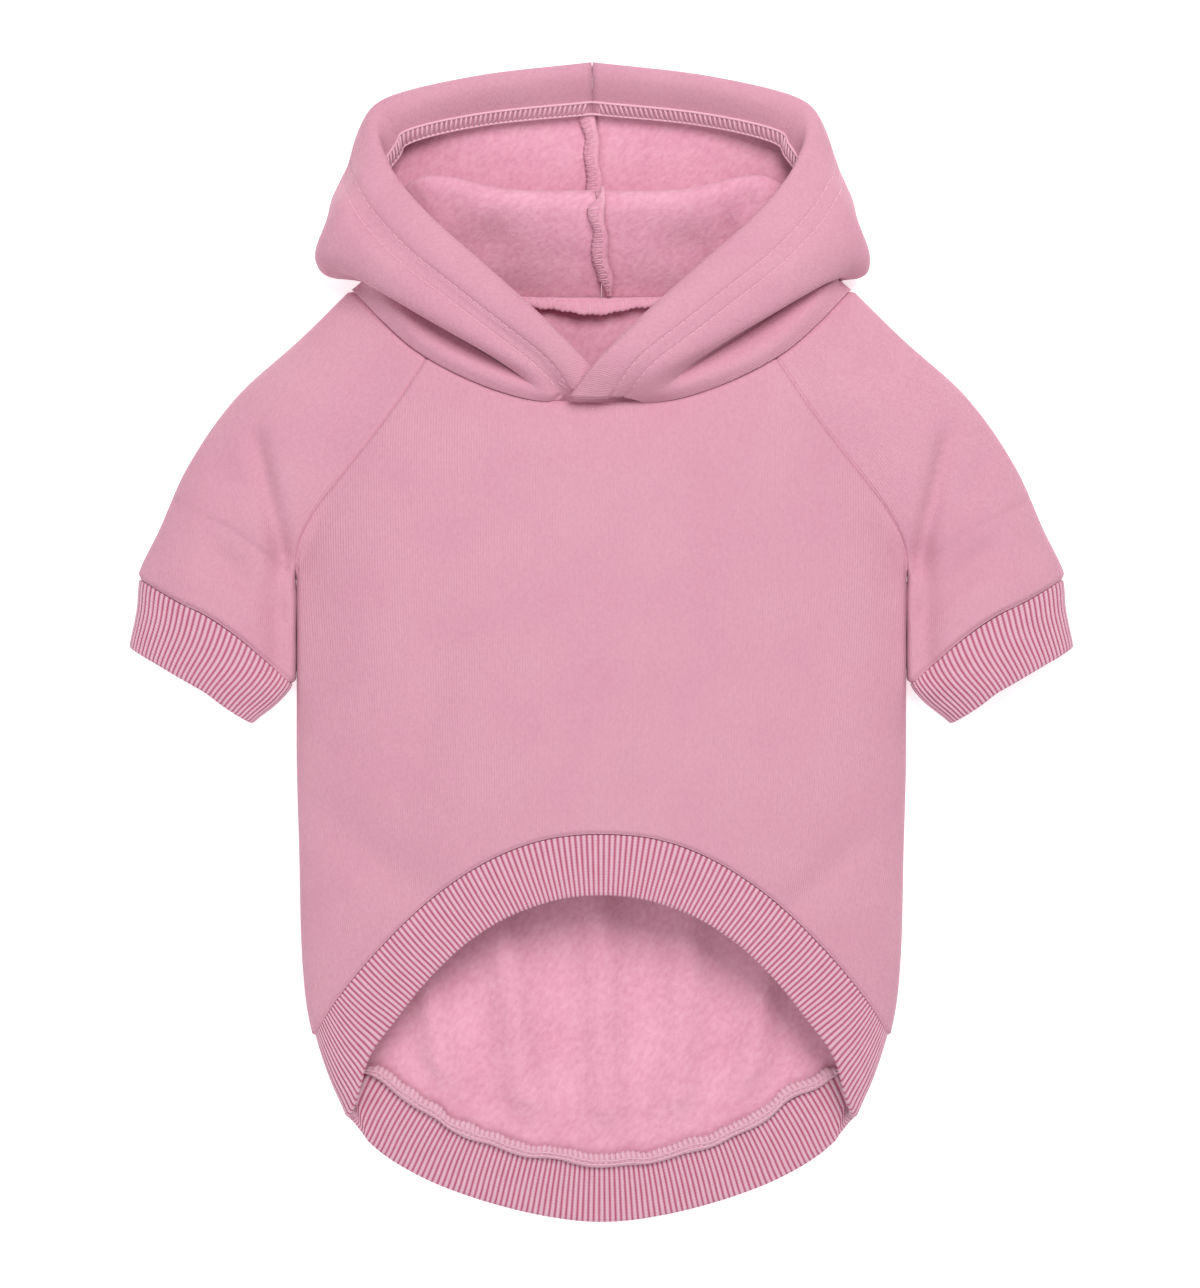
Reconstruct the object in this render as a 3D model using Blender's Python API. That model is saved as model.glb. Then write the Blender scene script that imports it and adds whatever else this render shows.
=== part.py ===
"""Small dog hoodie with raglan sleeves, laid on its back with the belly side up.

Built in millimetres and written out in metres. The floor is z = 0, the hood points to +Y and
the camera of the photo looks straight down. Every cloth wall is one closed sheet: its outer
face follows the form, its inner face lies one wall thickness inside.
"""

import math

import bmesh
import bpy
import numpy as np

for old in list(bpy.data.objects):
    bpy.data.objects.remove(old, do_unlink=True)

METRES = 0.001

# Main sizes of the hoodie as it lies, in millimetres.
body_half_width = 105.0
body_length = 318.0
back_hem_y = -199.5
chest_height = 32.0
side_fold_height = 6.0
belly_height_share = 0.86
sleeve_reach = 160.0
armpit_share = 0.699
shoulder_share = 1.010
wall = 2.0
rib_wall = 2.6
seam_gap = 0.4
band_gap = 1.2
neck_gap = 0.9
outline_inset = 0.3
lip_step = 1.2
merge_roundness = 0.9

# Sizes of the hood, which lies collapsed above the neck.
hood_half_width = 94.0
hood_rise = 80.3
hood_height = 46.0
hood_offset_x = -3.2
overlap_lift = 7.5
raglan_gap = 0.8
fold_share = 0.3
thinnest_share = 0.15
rounding_passes = 2
front_turn = 0.54
lift_growth = 0.28
lean_growth = 0.25

# Dents of the front fade out within this distance of the outline.
dent_fade = 6.0

# Share of a panel's left edge that is its side; the rest is its raglan seam.
front_side_share = 0.68
back_side_share = 0.62
sleeve_seam_share = 0.72
edge_share = 0.0015

# Columns and rows of each grid.
front_grid = (23, 18)
back_grid = (19, 14)
sleeve_grid = (13, 12)
cuff_grid = (13, 4)
hem_grid = (33, 4)
hood_grid = (21, 34)

shell = bpy.data.collections.new("dog_hoodie")
bpy.context.scene.collection.children.link(shell)


def make_material(name, colour, roughness):
    """One plain cloth material."""
    material = bpy.data.materials.new(name)
    material.use_nodes = True
    shader = material.node_tree.nodes["Principled BSDF"]
    shader.inputs["Base Color"].default_value = (*colour, 1.0)
    shader.inputs["Roughness"].default_value = roughness
    shader.inputs["Metallic"].default_value = 0.0
    material.diffuse_color = (*colour, 1.0)
    return material


fleece = make_material("pink_fleece", (0.72, 0.36, 0.47), 0.9)
hood_fleece = make_material("pink_hood_fleece", (0.70, 0.34, 0.45), 0.9)
rib_knit = make_material("pink_rib_knit", (0.68, 0.37, 0.48), 0.85)


def slopes(where, value):
    """Slope at each row of a table, from the rows on both sides."""
    steps = np.diff(where)
    rates = np.diff(value, axis=0) / (steps[:, None] if value.ndim > 1 else steps)
    inner = 0.5 * (rates[1:] + rates[:-1])
    return np.concatenate([rates[:1], inner, rates[-1:]])


def ease(where, value, at):
    """Smooth curve through the rows (where, value), read at the places in at."""
    where = np.asarray(where, float)
    value = np.asarray(value, float)
    at = np.asarray(at, float)
    tilt = slopes(where, value)
    row = np.clip(np.searchsorted(where, at) - 1, 0, len(where) - 2)
    span = where[row + 1] - where[row]
    t = (at - where[row]) / span
    clipped = np.clip(t, 0.0, 1.0)
    beyond = (t - clipped) * span
    if value.ndim > 1:
        clipped, span, beyond = clipped[..., None], span[..., None], beyond[..., None]
    square, cube = clipped ** 2, clipped ** 3
    start = (2 * cube - 3 * square + 1) * value[row] + (cube - 2 * square + clipped) * span * tilt[row]
    end = (3 * square - 2 * cube) * value[row + 1] + (cube - square) * span * tilt[row + 1]
    edge_tilt = np.where(beyond > 0, tilt[row + 1], tilt[row])
    return start + end + beyond * edge_tilt


def along(points, shares):
    """Points of a smooth curve through plan points, at shares of its length."""
    points = np.asarray(points, float)
    steps = np.linalg.norm(np.diff(points, axis=0), axis=1)
    length = np.concatenate([[0.0], np.cumsum(steps)])
    return ease(length / length[-1], points, shares)


def body_y(share):
    """Height up the back, from the back hem edge, as a place on Y."""
    return back_hem_y + share * body_length


# Side outline of the body: share of the length from the back hem, share of the half width.
body_sides = [
    (-0.010, 0.800),
    (0.060, 0.815),
    (0.113, 0.846),
    (0.155, 0.900),
    (0.198, 0.943),
    (0.232, 0.966),
    (0.285, 0.982),
    (0.404, 0.992),
    (0.500, 1.000),
    (0.575, 1.000),
    (0.640, 1.000),
    (armpit_share, 1.000),
    (0.790, 0.980),
    (0.900, 0.920),
    (shoulder_share, 0.820),
]

# Outer edge of sleeve and cuff: share of the body length, share of the sleeve reach.
sleeve_outside = [
    (0.540, 1.020),
    (0.580, 1.017),
    (0.622, 1.012),
    (0.665, 1.003),
    (armpit_share, 0.999),
    (0.750, 0.952),
    (0.821, 0.888),
    (0.897, 0.780),
    (0.956, 0.650),
    (shoulder_share, 0.540),
]

# Inner edge of sleeve and cuff, and the line on which the sleeve's swell ends in the chest.
# Share of the body length, share of the body half width.
sleeve_inside = [
    (0.500, 1.235),
    (0.540, 1.145),
    (0.562, 1.058),
    (0.580, 1.010),
    (0.600, 1.000),
    (0.640, 1.000),
    (armpit_share, 1.000),
    (0.735, 0.905),
    (0.795, 0.750),
    (0.870, 0.560),
    (0.965, 0.400),
    (shoulder_share, 0.340),
]


def table_reader(table, length):
    """Function of y from a table of two shares."""
    places = [body_y(row[0]) for row in table]
    values = [row[1] * length for row in table]
    return lambda y: ease(places, values, y)


body_side = table_reader(body_sides, body_half_width)
outer_edge = table_reader(sleeve_outside, sleeve_reach)
inner_edge = table_reader(sleeve_inside, body_half_width)

# Soft dents and swells of the front: place as shares of half width and body length, size of
# the spot as a share of the half width (across, along), depth in millimetres.
front_dents = [
    (-0.55, 0.52, 0.30, 0.45, -1.4),
    (0.30, 0.50, 0.22, 0.40, -1.2),
    (-0.15, 0.60, 0.25, 0.30, 1.0),
    (0.55, 0.68, 0.30, 0.35, -0.8),
    (-0.72, 0.30, 0.16, 0.30, -1.0),
    (0.74, 0.34, 0.16, 0.30, -1.0),
    (-1.22, 0.76, 0.12, 0.30, -1.6),
    (1.22, 0.76, 0.12, 0.30, -1.6),
]

swell = (chest_height - side_fold_height) / math.sqrt((2.0 - math.sqrt(2.0)) * body_half_width)


def both(a, b):
    """Positive where both a and b are, zero on their common outline."""
    return a + b - np.sqrt(a * a + b * b)


def either(a, b):
    """Positive where a or b is, with a rounded meeting."""
    k = merge_roundness
    return (a + b + np.sqrt(np.maximum(a * a + b * b - 2.0 * k * a * b, 0.0))) / (1.0 + k)


def depth_inside(x, y):
    """How deep a plan point lies inside the outline of body and sleeves."""
    half = body_side(y)
    step = 0.5
    body = both(half + x, half - x)
    out = outer_edge(y)
    inn = inner_edge(y)
    out_slope = (outer_edge(y + step) - outer_edge(y - step)) / (2 * step)
    inn_slope = (inner_edge(y + step) - inner_edge(y - step)) / (2 * step)
    from_outside = (out - np.abs(x)) / np.sqrt(1.0 + out_slope ** 2)
    from_inside = (np.abs(x) - inn) / np.sqrt(1.0 + inn_slope ** 2)
    return either(body, both(from_outside, from_inside))


def depth_and_slope(x, y):
    """Depth inside the outline with its slope across and along."""
    step = 0.05
    depth = np.maximum(depth_inside(x, y) - outline_inset, 0.0)
    across = (depth_inside(x + step, y) - depth_inside(x - step, y)) / (2 * step)
    up = (depth_inside(x, y + step) - depth_inside(x, y - step)) / (2 * step)
    return depth, across, up


def belly_share(y):
    """The swell of the front grows less toward the hem."""
    t = np.clip((body_y(0.55) - y) / (body_length * 0.35), 0.0, 1.0)
    return 1.0 - (1.0 - belly_height_share) * (3 * t * t - 2 * t ** 3)


def dents(x, y):
    """Sum of the soft dents of the front."""
    total = np.zeros_like(x)
    for place_x, place_y, size_x, size_y, depth in front_dents:
        dx = (x - place_x * body_half_width) / (size_x * body_half_width)
        dy = (y - body_y(place_y)) / (size_y * body_half_width)
        total = total + depth * np.exp(-dx * dx - dy * dy)
    return total


def upper_face(plan, gap=0.0):
    """Points and outward normals of the upper cloth face; its edge is half a gap high."""
    x, y = plan[..., 0], plan[..., 1]
    depth, across, up = depth_and_slope(x, y)
    rise = swell * belly_share(y)
    root = np.sqrt(depth)
    fade = depth / (depth + dent_fade)
    z = side_fold_height + 0.5 * gap + rise * root + dents(x, y) * fade
    normal = np.stack([-0.5 * rise * across, -0.5 * rise * up, root], axis=-1)
    normal /= np.linalg.norm(normal, axis=-1, keepdims=True)
    return np.stack([x, y, z], axis=-1), normal


def lower_face(plan, gap=0.0):
    """Points and outward normals of the face on the floor; its edge is half a gap low."""
    x, y = plan[..., 0], plan[..., 1]
    depth, across, up = depth_and_slope(x, y)
    size = np.sqrt(across ** 2 + up ** 2) + 1e-9
    turn = 1.0 - np.minimum(depth, side_fold_height) / side_fold_height
    flat = np.sqrt(np.maximum(1.0 - turn ** 2, 0.0))
    z = (side_fold_height - 0.5 * gap) * (1.0 - flat)
    normal = np.stack([-turn * across / size, -turn * up / size, -flat], axis=-1)
    normal /= np.linalg.norm(normal, axis=-1, keepdims=True)
    return np.stack([x, y, z], axis=-1), normal


def patch(near, far, left, right, columns, rows, inset):
    """Plan grid between four curves; its columns crowd toward both sides."""
    u = 0.5 - 0.5 * np.cos(math.pi * np.linspace(0.0, 1.0, columns))
    v = np.linspace(0.0, 1.0, rows)
    v = inset + v * (1.0 - 2.0 * inset)
    lower, upper = near(u), far(u)
    west, east = left(v), right(v)
    a = u[None, :, None]
    b = v[:, None, None]
    grid = (1 - b) * lower[None] + b * upper[None] + (1 - a) * west[:, None] + a * east[:, None]
    corners = (1 - a) * (1 - b) * lower[0] + a * (1 - b) * lower[-1]
    corners = corners + (1 - a) * b * upper[0] + a * b * upper[-1]
    return grid - corners


def mesh_object(name, points, faces, material):
    """Object from points in millimetres and faces, with all faces turned outward."""
    mesh = bpy.data.meshes.new(name)
    mesh.from_pydata((np.asarray(points) * METRES).tolist(), [], faces)
    work = bmesh.new()
    work.from_mesh(mesh)
    bmesh.ops.recalc_face_normals(work, faces=work.faces)
    work.to_mesh(mesh)
    work.free()
    for face in mesh.polygons:
        face.use_smooth = True
    mesh.materials.append(material)
    item = bpy.data.objects.new(name, mesh)
    shell.objects.link(item)
    return item


def sheet(name, outer, inner, material, ring=False):
    """Closed sheet between two grids of points; a ring joins its last column to the first."""
    rows, columns = outer.shape[:2]
    count = rows * columns
    points = np.concatenate([outer.reshape(-1, 3), inner.reshape(-1, 3)])
    spans = columns if ring else columns - 1
    faces = []
    for r in range(rows - 1):
        for c in range(spans):
            d = (c + 1) % columns
            a, b = r * columns + c, r * columns + d
            e, f = a + columns, b + columns
            faces.append((a, b, f, e))
            faces.append((count + a, count + e, count + f, count + b))
    for c in range(spans):
        d = (c + 1) % columns
        top = (rows - 1) * columns
        faces.append((c, count + c, count + d, d))
        faces.append((top + c, top + d, count + top + d, count + top + c))
    if not ring:
        for r in range(rows - 1):
            a, b = r * columns, (r + 1) * columns
            g, h = a + columns - 1, b + columns - 1
            faces.append((a, b, count + b, count + a))
            faces.append((g, count + g, count + h, h))
    return mesh_object(name, points, faces, material)


def walls(points, normal, thickness, inset):
    """Outer and inner face of a cloth wall just inside a form; it stays down on the floor."""
    down = np.minimum(normal[..., 2:], 0.0) * np.array([0.0, 0.0, inset])
    outer = points - normal * inset + down
    return outer, outer - normal * thickness


# Seam curves of the left half in plan: share of the half width, share of the body length.
# The right half mirrors them.
raglan_front = [
    (0.570, 0.935),
    (0.662, 0.889),
    (0.774, 0.840),
    (0.863, 0.803),
    (0.945, 0.763),
    (0.990, 0.730),
    (1.000, armpit_share),
]
raglan_back = [
    (0.630, 0.997),
    (0.770, 0.925),
    (0.880, 0.840),
    (0.965, 0.765),
    (1.000, armpit_share),
]
neck_front = [
    (0.820, 1.010),
    (0.795, 1.002),
    (0.714, 0.974),
    (0.623, 0.947),
    (0.570, 0.935),
]
chest_neck = [
    (0.570, 0.935),
    (0.488, 0.920),
    (0.403, 0.907),
    (0.320, 0.897),
    (0.235, 0.890),
    (0.120, 0.887),
    (0.000, 0.886),
]
neck_back = [
    (0.820, 1.010),
    (0.730, 1.000),
    (0.630, 0.997),
]
nape = [
    (0.630, 0.997),
    (0.300, 0.999),
    (0.000, 1.000),
]
belly_arch = [
    (0.943, 0.205),
    (0.866, 0.243),
    (0.741, 0.293),
    (0.550, 0.354),
    (0.363, 0.395),
    (0.186, 0.417),
    (0.000, 0.423),
]
belly_band_edge = [
    (0.846, 0.113),
    (0.820, 0.126),
    (0.764, 0.181),
    (0.675, 0.222),
    (0.550, 0.272),
    (0.426, 0.309),
    (0.288, 0.336),
    (0.130, 0.353),
    (0.000, 0.357),
]
back_hem_seam = [
    (0.943, 0.205),
    (0.771, 0.165),
    (0.612, 0.132),
    (0.448, 0.100),
    (0.286, 0.081),
    (0.140, 0.069),
    (0.000, 0.066),
]
back_hem_edge = [
    (0.846, 0.113),
    (0.800, 0.098),
    (0.720, 0.074),
    (0.600, 0.050),
    (0.480, 0.033),
    (0.280, 0.013),
    (0.100, 0.002),
    (0.000, 0.000),
]
cuff_seam = [
    (1.523, 0.698),
    (1.398, 0.674),
    (1.296, 0.658),
    (1.194, 0.636),
    (1.106, 0.612),
    (1.006, 0.583),
]
cuff_edge = [
    (1.547, 0.622),
    (1.398, 0.595),
    (1.296, 0.575),
    (1.204, 0.553),
    (1.142, 0.540),
]


def plan_rows(table):
    """Plan points of a seam table, on the left side."""
    return [(-row[0] * body_half_width, body_y(row[1])) for row in table]


def seam(table):
    """Curve of a seam table as a function of the share of its length."""
    rows = plan_rows(table)
    return lambda share: along(rows, share)


def mirrored(points):
    """Points or normals of the right side from the left side."""
    return points * np.array([-1.0, 1.0, 1.0][:points.shape[-1]])


def across_both(table):
    """Curve from the left end of a table to its mirrored right end."""
    left_rows = plan_rows(table)
    right_rows = [(-x, y) for x, y in reversed(left_rows[:-1])]
    rows = left_rows + right_rows
    return lambda share: along(rows, share)


def edge_line(reader, start, end, inset):
    """Outline from one place on Y to another, as a function of the share between them."""
    def line(share):
        y = start + (end - start) * share
        return np.stack([inset - reader(y), y], axis=-1)
    return line


def shifted(line, across, up):
    """The same curve moved in plan."""
    return lambda share: line(share) + np.array([across, up])


def joined(first, second, split):
    """Two curves end to end; the first takes the shares below the split."""
    def line(share):
        low = first(np.clip(share / split, 0.0, 1.0))
        high = second(np.clip((share - split) / (1.0 - split), 0.0, 1.0))
        return np.where((share < split)[:, None], low, high)
    return line


def reverse(line):
    """The same curve walked the other way."""
    return lambda share: line(1.0 - share)


def mirror_line(line):
    """The same curve on the right side."""
    return lambda share: mirrored(line(share))


hem_side_y = body_y(belly_arch[0][1])
hem_tip_y = body_y(belly_band_edge[0][1])
armpit_y = body_y(armpit_share)
shoulder_y = body_y(shoulder_share)
cuff_side_y = body_y(cuff_seam[0][1])
cuff_inner_y = body_y(cuff_seam[-1][1])


def body_panel(name, bottom, top, raglan, face, grid, side_share):
    """Front or back of the body between hem, sides, raglan seams and neck."""
    side = edge_line(body_side, hem_side_y, armpit_y, outline_inset)
    slope = shifted(reverse(seam(raglan)), 0.5 * raglan_gap, 0.0)
    left = joined(side, slope, side_share)
    plan = patch(across_both(bottom), across_both(top), left, mirror_line(left), *grid, edge_share)
    points, normal = face(plan, seam_gap)
    outer, inner = walls(points, normal, wall, 0.0)
    return sheet(name, outer, inner, fleece)


body_panel("front_panel", belly_arch, chest_neck, raglan_front, upper_face, front_grid, front_side_share)
body_panel("back_panel", back_hem_seam, nape, raglan_back, lower_face, back_grid, back_side_share)


def sleeve_half(raglan, neck, face, columns, rows):
    """Upper or lower half of the left sleeve, from its inner edge to its outer edge."""
    slit = edge_line(inner_edge, armpit_y, cuff_inner_y, -outline_inset)
    inside = joined(shifted(seam(raglan), -0.5 * raglan_gap, 0.0), slit, sleeve_seam_share)
    outside = edge_line(outer_edge, shoulder_y, cuff_side_y, outline_inset)
    plan = patch(reverse(seam(neck)), reverse(seam(cuff_seam)), inside, outside, columns, rows, edge_share)
    points, normal = face(plan, seam_gap)
    closed = face(plan)[0]
    inner_side = np.linspace(1.0, 0.0, columns)[:, None]
    return points * inner_side + closed * (1.0 - inner_side), normal


def sleeve(columns, rows):
    """Grid of the left sleeve, round the arm from the front seam to the back seam."""
    top = sleeve_half(raglan_front, neck_front, upper_face, columns, rows)
    below = sleeve_half(raglan_back, neck_back, lower_face, columns, rows)
    grids = [np.concatenate([a, b[:, -2::-1]], axis=1) for a, b in zip(top, below)]
    return walls(grids[0], grids[1], wall, 0.0)


def ring_band(near_upper, near_lower, far_upper, far_lower, left, right, columns, rows):
    """Closed loop of a rib band between a seam and a free edge."""
    top = upper_face(patch(near_upper, far_upper, left, right, columns, rows, 0.0))
    below = lower_face(patch(near_lower, far_lower, left, right, columns, rows, 0.0))
    grids = [np.concatenate([a, b[:, -2:0:-1]], axis=1) for a, b in zip(top, below)]
    return walls(grids[0], grids[1], rib_wall, lip_step)


def cuff(columns, rows):
    """Grid of the left cuff."""
    near = shifted(seam(cuff_seam), 0.0, -band_gap)
    far = seam(cuff_edge)
    outside = edge_line(outer_edge, cuff_side_y - band_gap, body_y(cuff_edge[0][1]), outline_inset)
    inside = edge_line(inner_edge, cuff_inner_y - band_gap, body_y(cuff_edge[-1][1]), -outline_inset)
    return ring_band(near, near, far, far, outside, inside, columns, rows)


for side in ("left", "right"):
    arm = sleeve(*sleeve_grid)
    band = cuff(*cuff_grid)
    if side == "right":
        arm = [mirrored(grid) for grid in arm]
        band = [mirrored(grid) for grid in band]
    sheet(side + "_sleeve", *arm, fleece)
    sheet(side + "_cuff", *band, rib_knit, ring=True)


def hem(columns, rows):
    """Grid of the hem band round the belly arch and the back hem."""
    left = edge_line(body_side, hem_side_y - band_gap, hem_tip_y, outline_inset)
    arch = shifted(across_both(belly_arch), 0.0, -band_gap)
    back = shifted(across_both(back_hem_seam), 0.0, -band_gap)
    return ring_band(arch, back, across_both(belly_band_edge), across_both(back_hem_edge),
                     left, mirror_line(left), columns, rows)


sheet("hem_band", *hem(*hem_grid), rib_knit, ring=True)


# The hood, from centre front round the left side to centre back. A row starts at its place on
# the neck seam (share of the way round the left half), then come the named places of its
# fold from the seam to the turned-in hem, each as shares across, up and high of the hood's
# half width, rise and height.
hood_places = ("roll", "valley", "under_fold", "fold", "face_1", "face_2", "face_3", "face_4",
               "rim", "turned", "hem_end")
hood_stations = [
    (0.080, (-0.11, -0.43, 0.73), (-0.085, -0.43, 0.75), (-0.06, -0.43, 0.77), (-0.03, -0.43, 0.785),
     (-0.005, -0.43, 0.78), (0.015, -0.43, 0.78), (0.035, -0.43, 0.78), (0.055, -0.43, 0.775),
     (0.075, -0.43, 0.745), (0.055, -0.43, 0.70), (0.00, -0.43, 0.665)),
    (0.130, (-0.23, -0.41, 0.71), (-0.225, -0.38, 0.725), (-0.22, -0.35, 0.77), (-0.21, -0.32, 0.83),
     (-0.17, -0.29, 0.87), (-0.14, -0.275, 0.88), (-0.11, -0.26, 0.88), (-0.07, -0.25, 0.87),
     (-0.03, -0.28, 0.83), (-0.06, -0.285, 0.78), (-0.12, -0.37, 0.735)),
    (0.220, (-0.41, -0.32, 0.67), (-0.38, -0.275, 0.68), (-0.39, -0.23, 0.74), (-0.385, -0.19, 0.815),
     (-0.35, -0.15, 0.87), (-0.315, -0.12, 0.89), (-0.28, -0.095, 0.89), (-0.24, -0.07, 0.875),
     (-0.20, -0.08, 0.83), (-0.235, -0.085, 0.775), (-0.33, -0.155, 0.73)),
    (0.320, (-0.60, -0.205, 0.61), (-0.565, -0.15, 0.61), (-0.59, -0.11, 0.66), (-0.59, -0.075, 0.75),
     (-0.555, -0.015, 0.815), (-0.52, 0.025, 0.84), (-0.485, 0.07, 0.84), (-0.445, 0.11, 0.82),
     (-0.39, 0.125, 0.775), (-0.43, 0.105, 0.72), (-0.54, -0.02, 0.665)),
    (0.420, (-0.74, -0.06, 0.51), (-0.73, -0.02, 0.51), (-0.75, 0.00, 0.565), (-0.76, 0.035, 0.64),
     (-0.74, 0.095, 0.72), (-0.71, 0.15, 0.75), (-0.67, 0.205, 0.75), (-0.63, 0.26, 0.735),
     (-0.57, 0.32, 0.68), (-0.615, 0.275, 0.615), (-0.71, 0.11, 0.555)),
    (0.510, (-0.85, 0.07, 0.30), (-0.87, 0.095, 0.33), (-0.90, 0.105, 0.38), (-0.92, 0.125, 0.44),
     (-0.915, 0.16, 0.53), (-0.89, 0.22, 0.60), (-0.85, 0.29, 0.63), (-0.79, 0.37, 0.62),
     (-0.69, 0.495, 0.56), (-0.755, 0.41, 0.49), (-0.83, 0.275, 0.43)),
    (0.580, (-0.83, 0.07, 0.065), (-0.88, 0.10, 0.08), (-0.94, 0.11, 0.12), (-0.985, 0.135, 0.205),
     (-1.00, 0.195, 0.315), (-0.975, 0.27, 0.41), (-0.935, 0.365, 0.49), (-0.875, 0.475, 0.52),
     (-0.75, 0.62, 0.465), (-0.79, 0.53, 0.39), (-0.82, 0.43, 0.32)),
    (0.650, (-0.69, 0.09, 0.12), (-0.70, 0.20, 0.20), (-0.715, 0.31, 0.24), (-0.76, 0.385, 0.23),
     (-0.815, 0.335, 0.15), (-0.875, 0.31, 0.095), (-0.93, 0.40, 0.05), (-0.905, 0.52, 0.175),
     (-0.815, 0.765, 0.38), (-0.745, 0.71, 0.31), (-0.72, 0.60, 0.19)),
    (0.740, (-0.535, 0.125, 0.175), (-0.57, 0.295, 0.305), (-0.595, 0.46, 0.385), (-0.61, 0.52, 0.33),
     (-0.63, 0.405, 0.205), (-0.675, 0.26, 0.125), (-0.72, 0.32, 0.024), (-0.79, 0.685, 0.05),
     (-0.74, 0.86, 0.295), (-0.69, 0.81, 0.36), (-0.655, 0.68, 0.19)),
    (0.870, (-0.275, 0.14, 0.175), (-0.295, 0.315, 0.305), (-0.31, 0.415, 0.37), (-0.31, 0.46, 0.305),
     (-0.325, 0.36, 0.205), (-0.345, 0.215, 0.125), (-0.38, 0.27, 0.022), (-0.45, 0.75, 0.03),
     (-0.41, 0.945, 0.285), (-0.40, 0.90, 0.365), (-0.385, 0.755, 0.145)),
    (1.000, (0.00, 0.14, 0.175), (0.00, 0.315, 0.305), (0.00, 0.41, 0.37), (0.00, 0.455, 0.305),
     (0.00, 0.36, 0.205), (0.00, 0.205, 0.125), (0.00, 0.26, 0.022), (0.00, 0.79, 0.03),
     (0.00, 1.00, 0.285), (0.00, 0.955, 0.365), (0.00, 0.80, 0.145)),
]
# How far the right band is lifted where it crosses the left one, as a share at each station.
crossing = (1.0, 1.0, 0.45, 0.1, 0.0, 0.0, 0.0, 0.0, 0.0, 0.0, 0.0)


def neck_row(shares):
    """Middle of the wall and outward normal round the left half of the neck seam."""
    front_plan = plan_rows(chest_neck)[::-1] + plan_rows(neck_front)[-2::-1]
    back_plan = plan_rows(neck_back) + plan_rows(nape)[1:]
    upper, upper_normal = upper_face(along(front_plan, np.clip(shares / front_turn, 0.0, 1.0)))
    behind = np.clip((shares - front_turn) / (1.0 - front_turn), 0.0, 1.0)
    lower, lower_normal = lower_face(along(back_plan, behind))
    in_front = (shares < front_turn)[:, None]
    points = np.where(in_front, upper, lower)
    normal = np.where(in_front, upper_normal, lower_normal)
    middle = points - normal * 0.5 * wall
    middle[:, 1] += neck_gap
    return middle, normal


def grid_normals(grid):
    """Unit normals of a grid of points from its own rows and columns."""
    down = np.gradient(grid, axis=0)
    across = np.gradient(grid, axis=1)
    normal = np.cross(across, down)
    return normal / np.linalg.norm(normal, axis=-1, keepdims=True)


def hollow_bend(grid, normal):
    """Bend of each column of a grid; above zero where it is hollow on the side of the normal."""
    bend = np.zeros(grid.shape[:2])
    ahead = grid[2:] - grid[1:-1]
    behind = grid[:-2] - grid[1:-1]
    length = 0.5 * (np.linalg.norm(ahead, axis=-1) + np.linalg.norm(behind, axis=-1))
    bend[1:-1] = np.sum((ahead + behind) * normal[1:-1], axis=-1) / length ** 2
    return bend


def half_wall(bend):
    """Half the wall, less where a fold is tighter than the cloth is thick."""
    near = np.maximum(bend, np.maximum(np.roll(bend, 1, axis=0), np.roll(bend, -1, axis=0)))
    limit = fold_share / np.maximum(near, 1e-6)
    return np.clip(limit, 0.5 * wall * thinnest_share, 0.5 * wall)


def hood_half(side, columns, rows):
    """Outer and inner grid of one half of the hood; side is -1 for left and 1 for right."""
    steps = np.arange(len(hood_stations))
    at = np.linspace(0.0, steps[-1], columns)
    shares = ease(steps, [row[0] for row in hood_stations], at)
    neck, neck_normal = neck_row(shares)
    if side > 0:
        neck, neck_normal = mirrored(neck), mirrored(neck_normal)
    size = np.array([hood_half_width, hood_rise, hood_height])
    places = np.array([row[1:] for row in hood_stations]) * size
    places = ease(steps, places.reshape(len(steps), -1), at).reshape(columns, -1, 3)
    leaning = np.clip(lean_growth * np.arange(places.shape[1]), 0.0, 1.0)
    places[..., 0] = hood_offset_x * leaning - side * places[..., 0]
    places[..., 1] += body_y(1.0)
    if side > 0:
        lift = overlap_lift * ease(steps, crossing, at)
        growing = np.clip(lift_growth * np.arange(1, places.shape[1] + 1), 0.0, 1.0)
        places[..., 2] += lift[:, None] * growing
    profile = np.concatenate([neck[:, None], places], axis=1)
    profile[..., 0] += side * 0.5 * seam_gap
    marks = np.arange(profile.shape[1])
    grid = ease(marks, profile.transpose(1, 0, 2).reshape(len(marks), -1),
                np.linspace(0.0, marks[-1], rows)).reshape(rows, columns, 3)
    for _ in range(rounding_passes):
        grid[1:-1] = 0.25 * grid[:-2] + 0.5 * grid[1:-1] + 0.25 * grid[2:]
    normal = side * grid_normals(grid)
    normal[0] = neck_normal
    normal[1:5, 0:2] = (0.0, 0.0, 1.0)
    bend = hollow_bend(grid, normal)
    outer = grid + normal * half_wall(bend)[..., None]
    inner = grid - normal * half_wall(-bend)[..., None]
    return outer, inner


for name, side in (("hood_left", -1), ("hood_right", 1)):
    sheet(name, *hood_half(side, *hood_grid), hood_fleece)
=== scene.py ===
"""Pink fleece hoodie for a small dog, laid on its back with the belly side up.

Tables and sizes are in millimetres. The left side is the viewer's left in the photo, towards -X.
"""

import math

import bmesh
import bpy
import numpy as np
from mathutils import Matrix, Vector, noise


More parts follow.
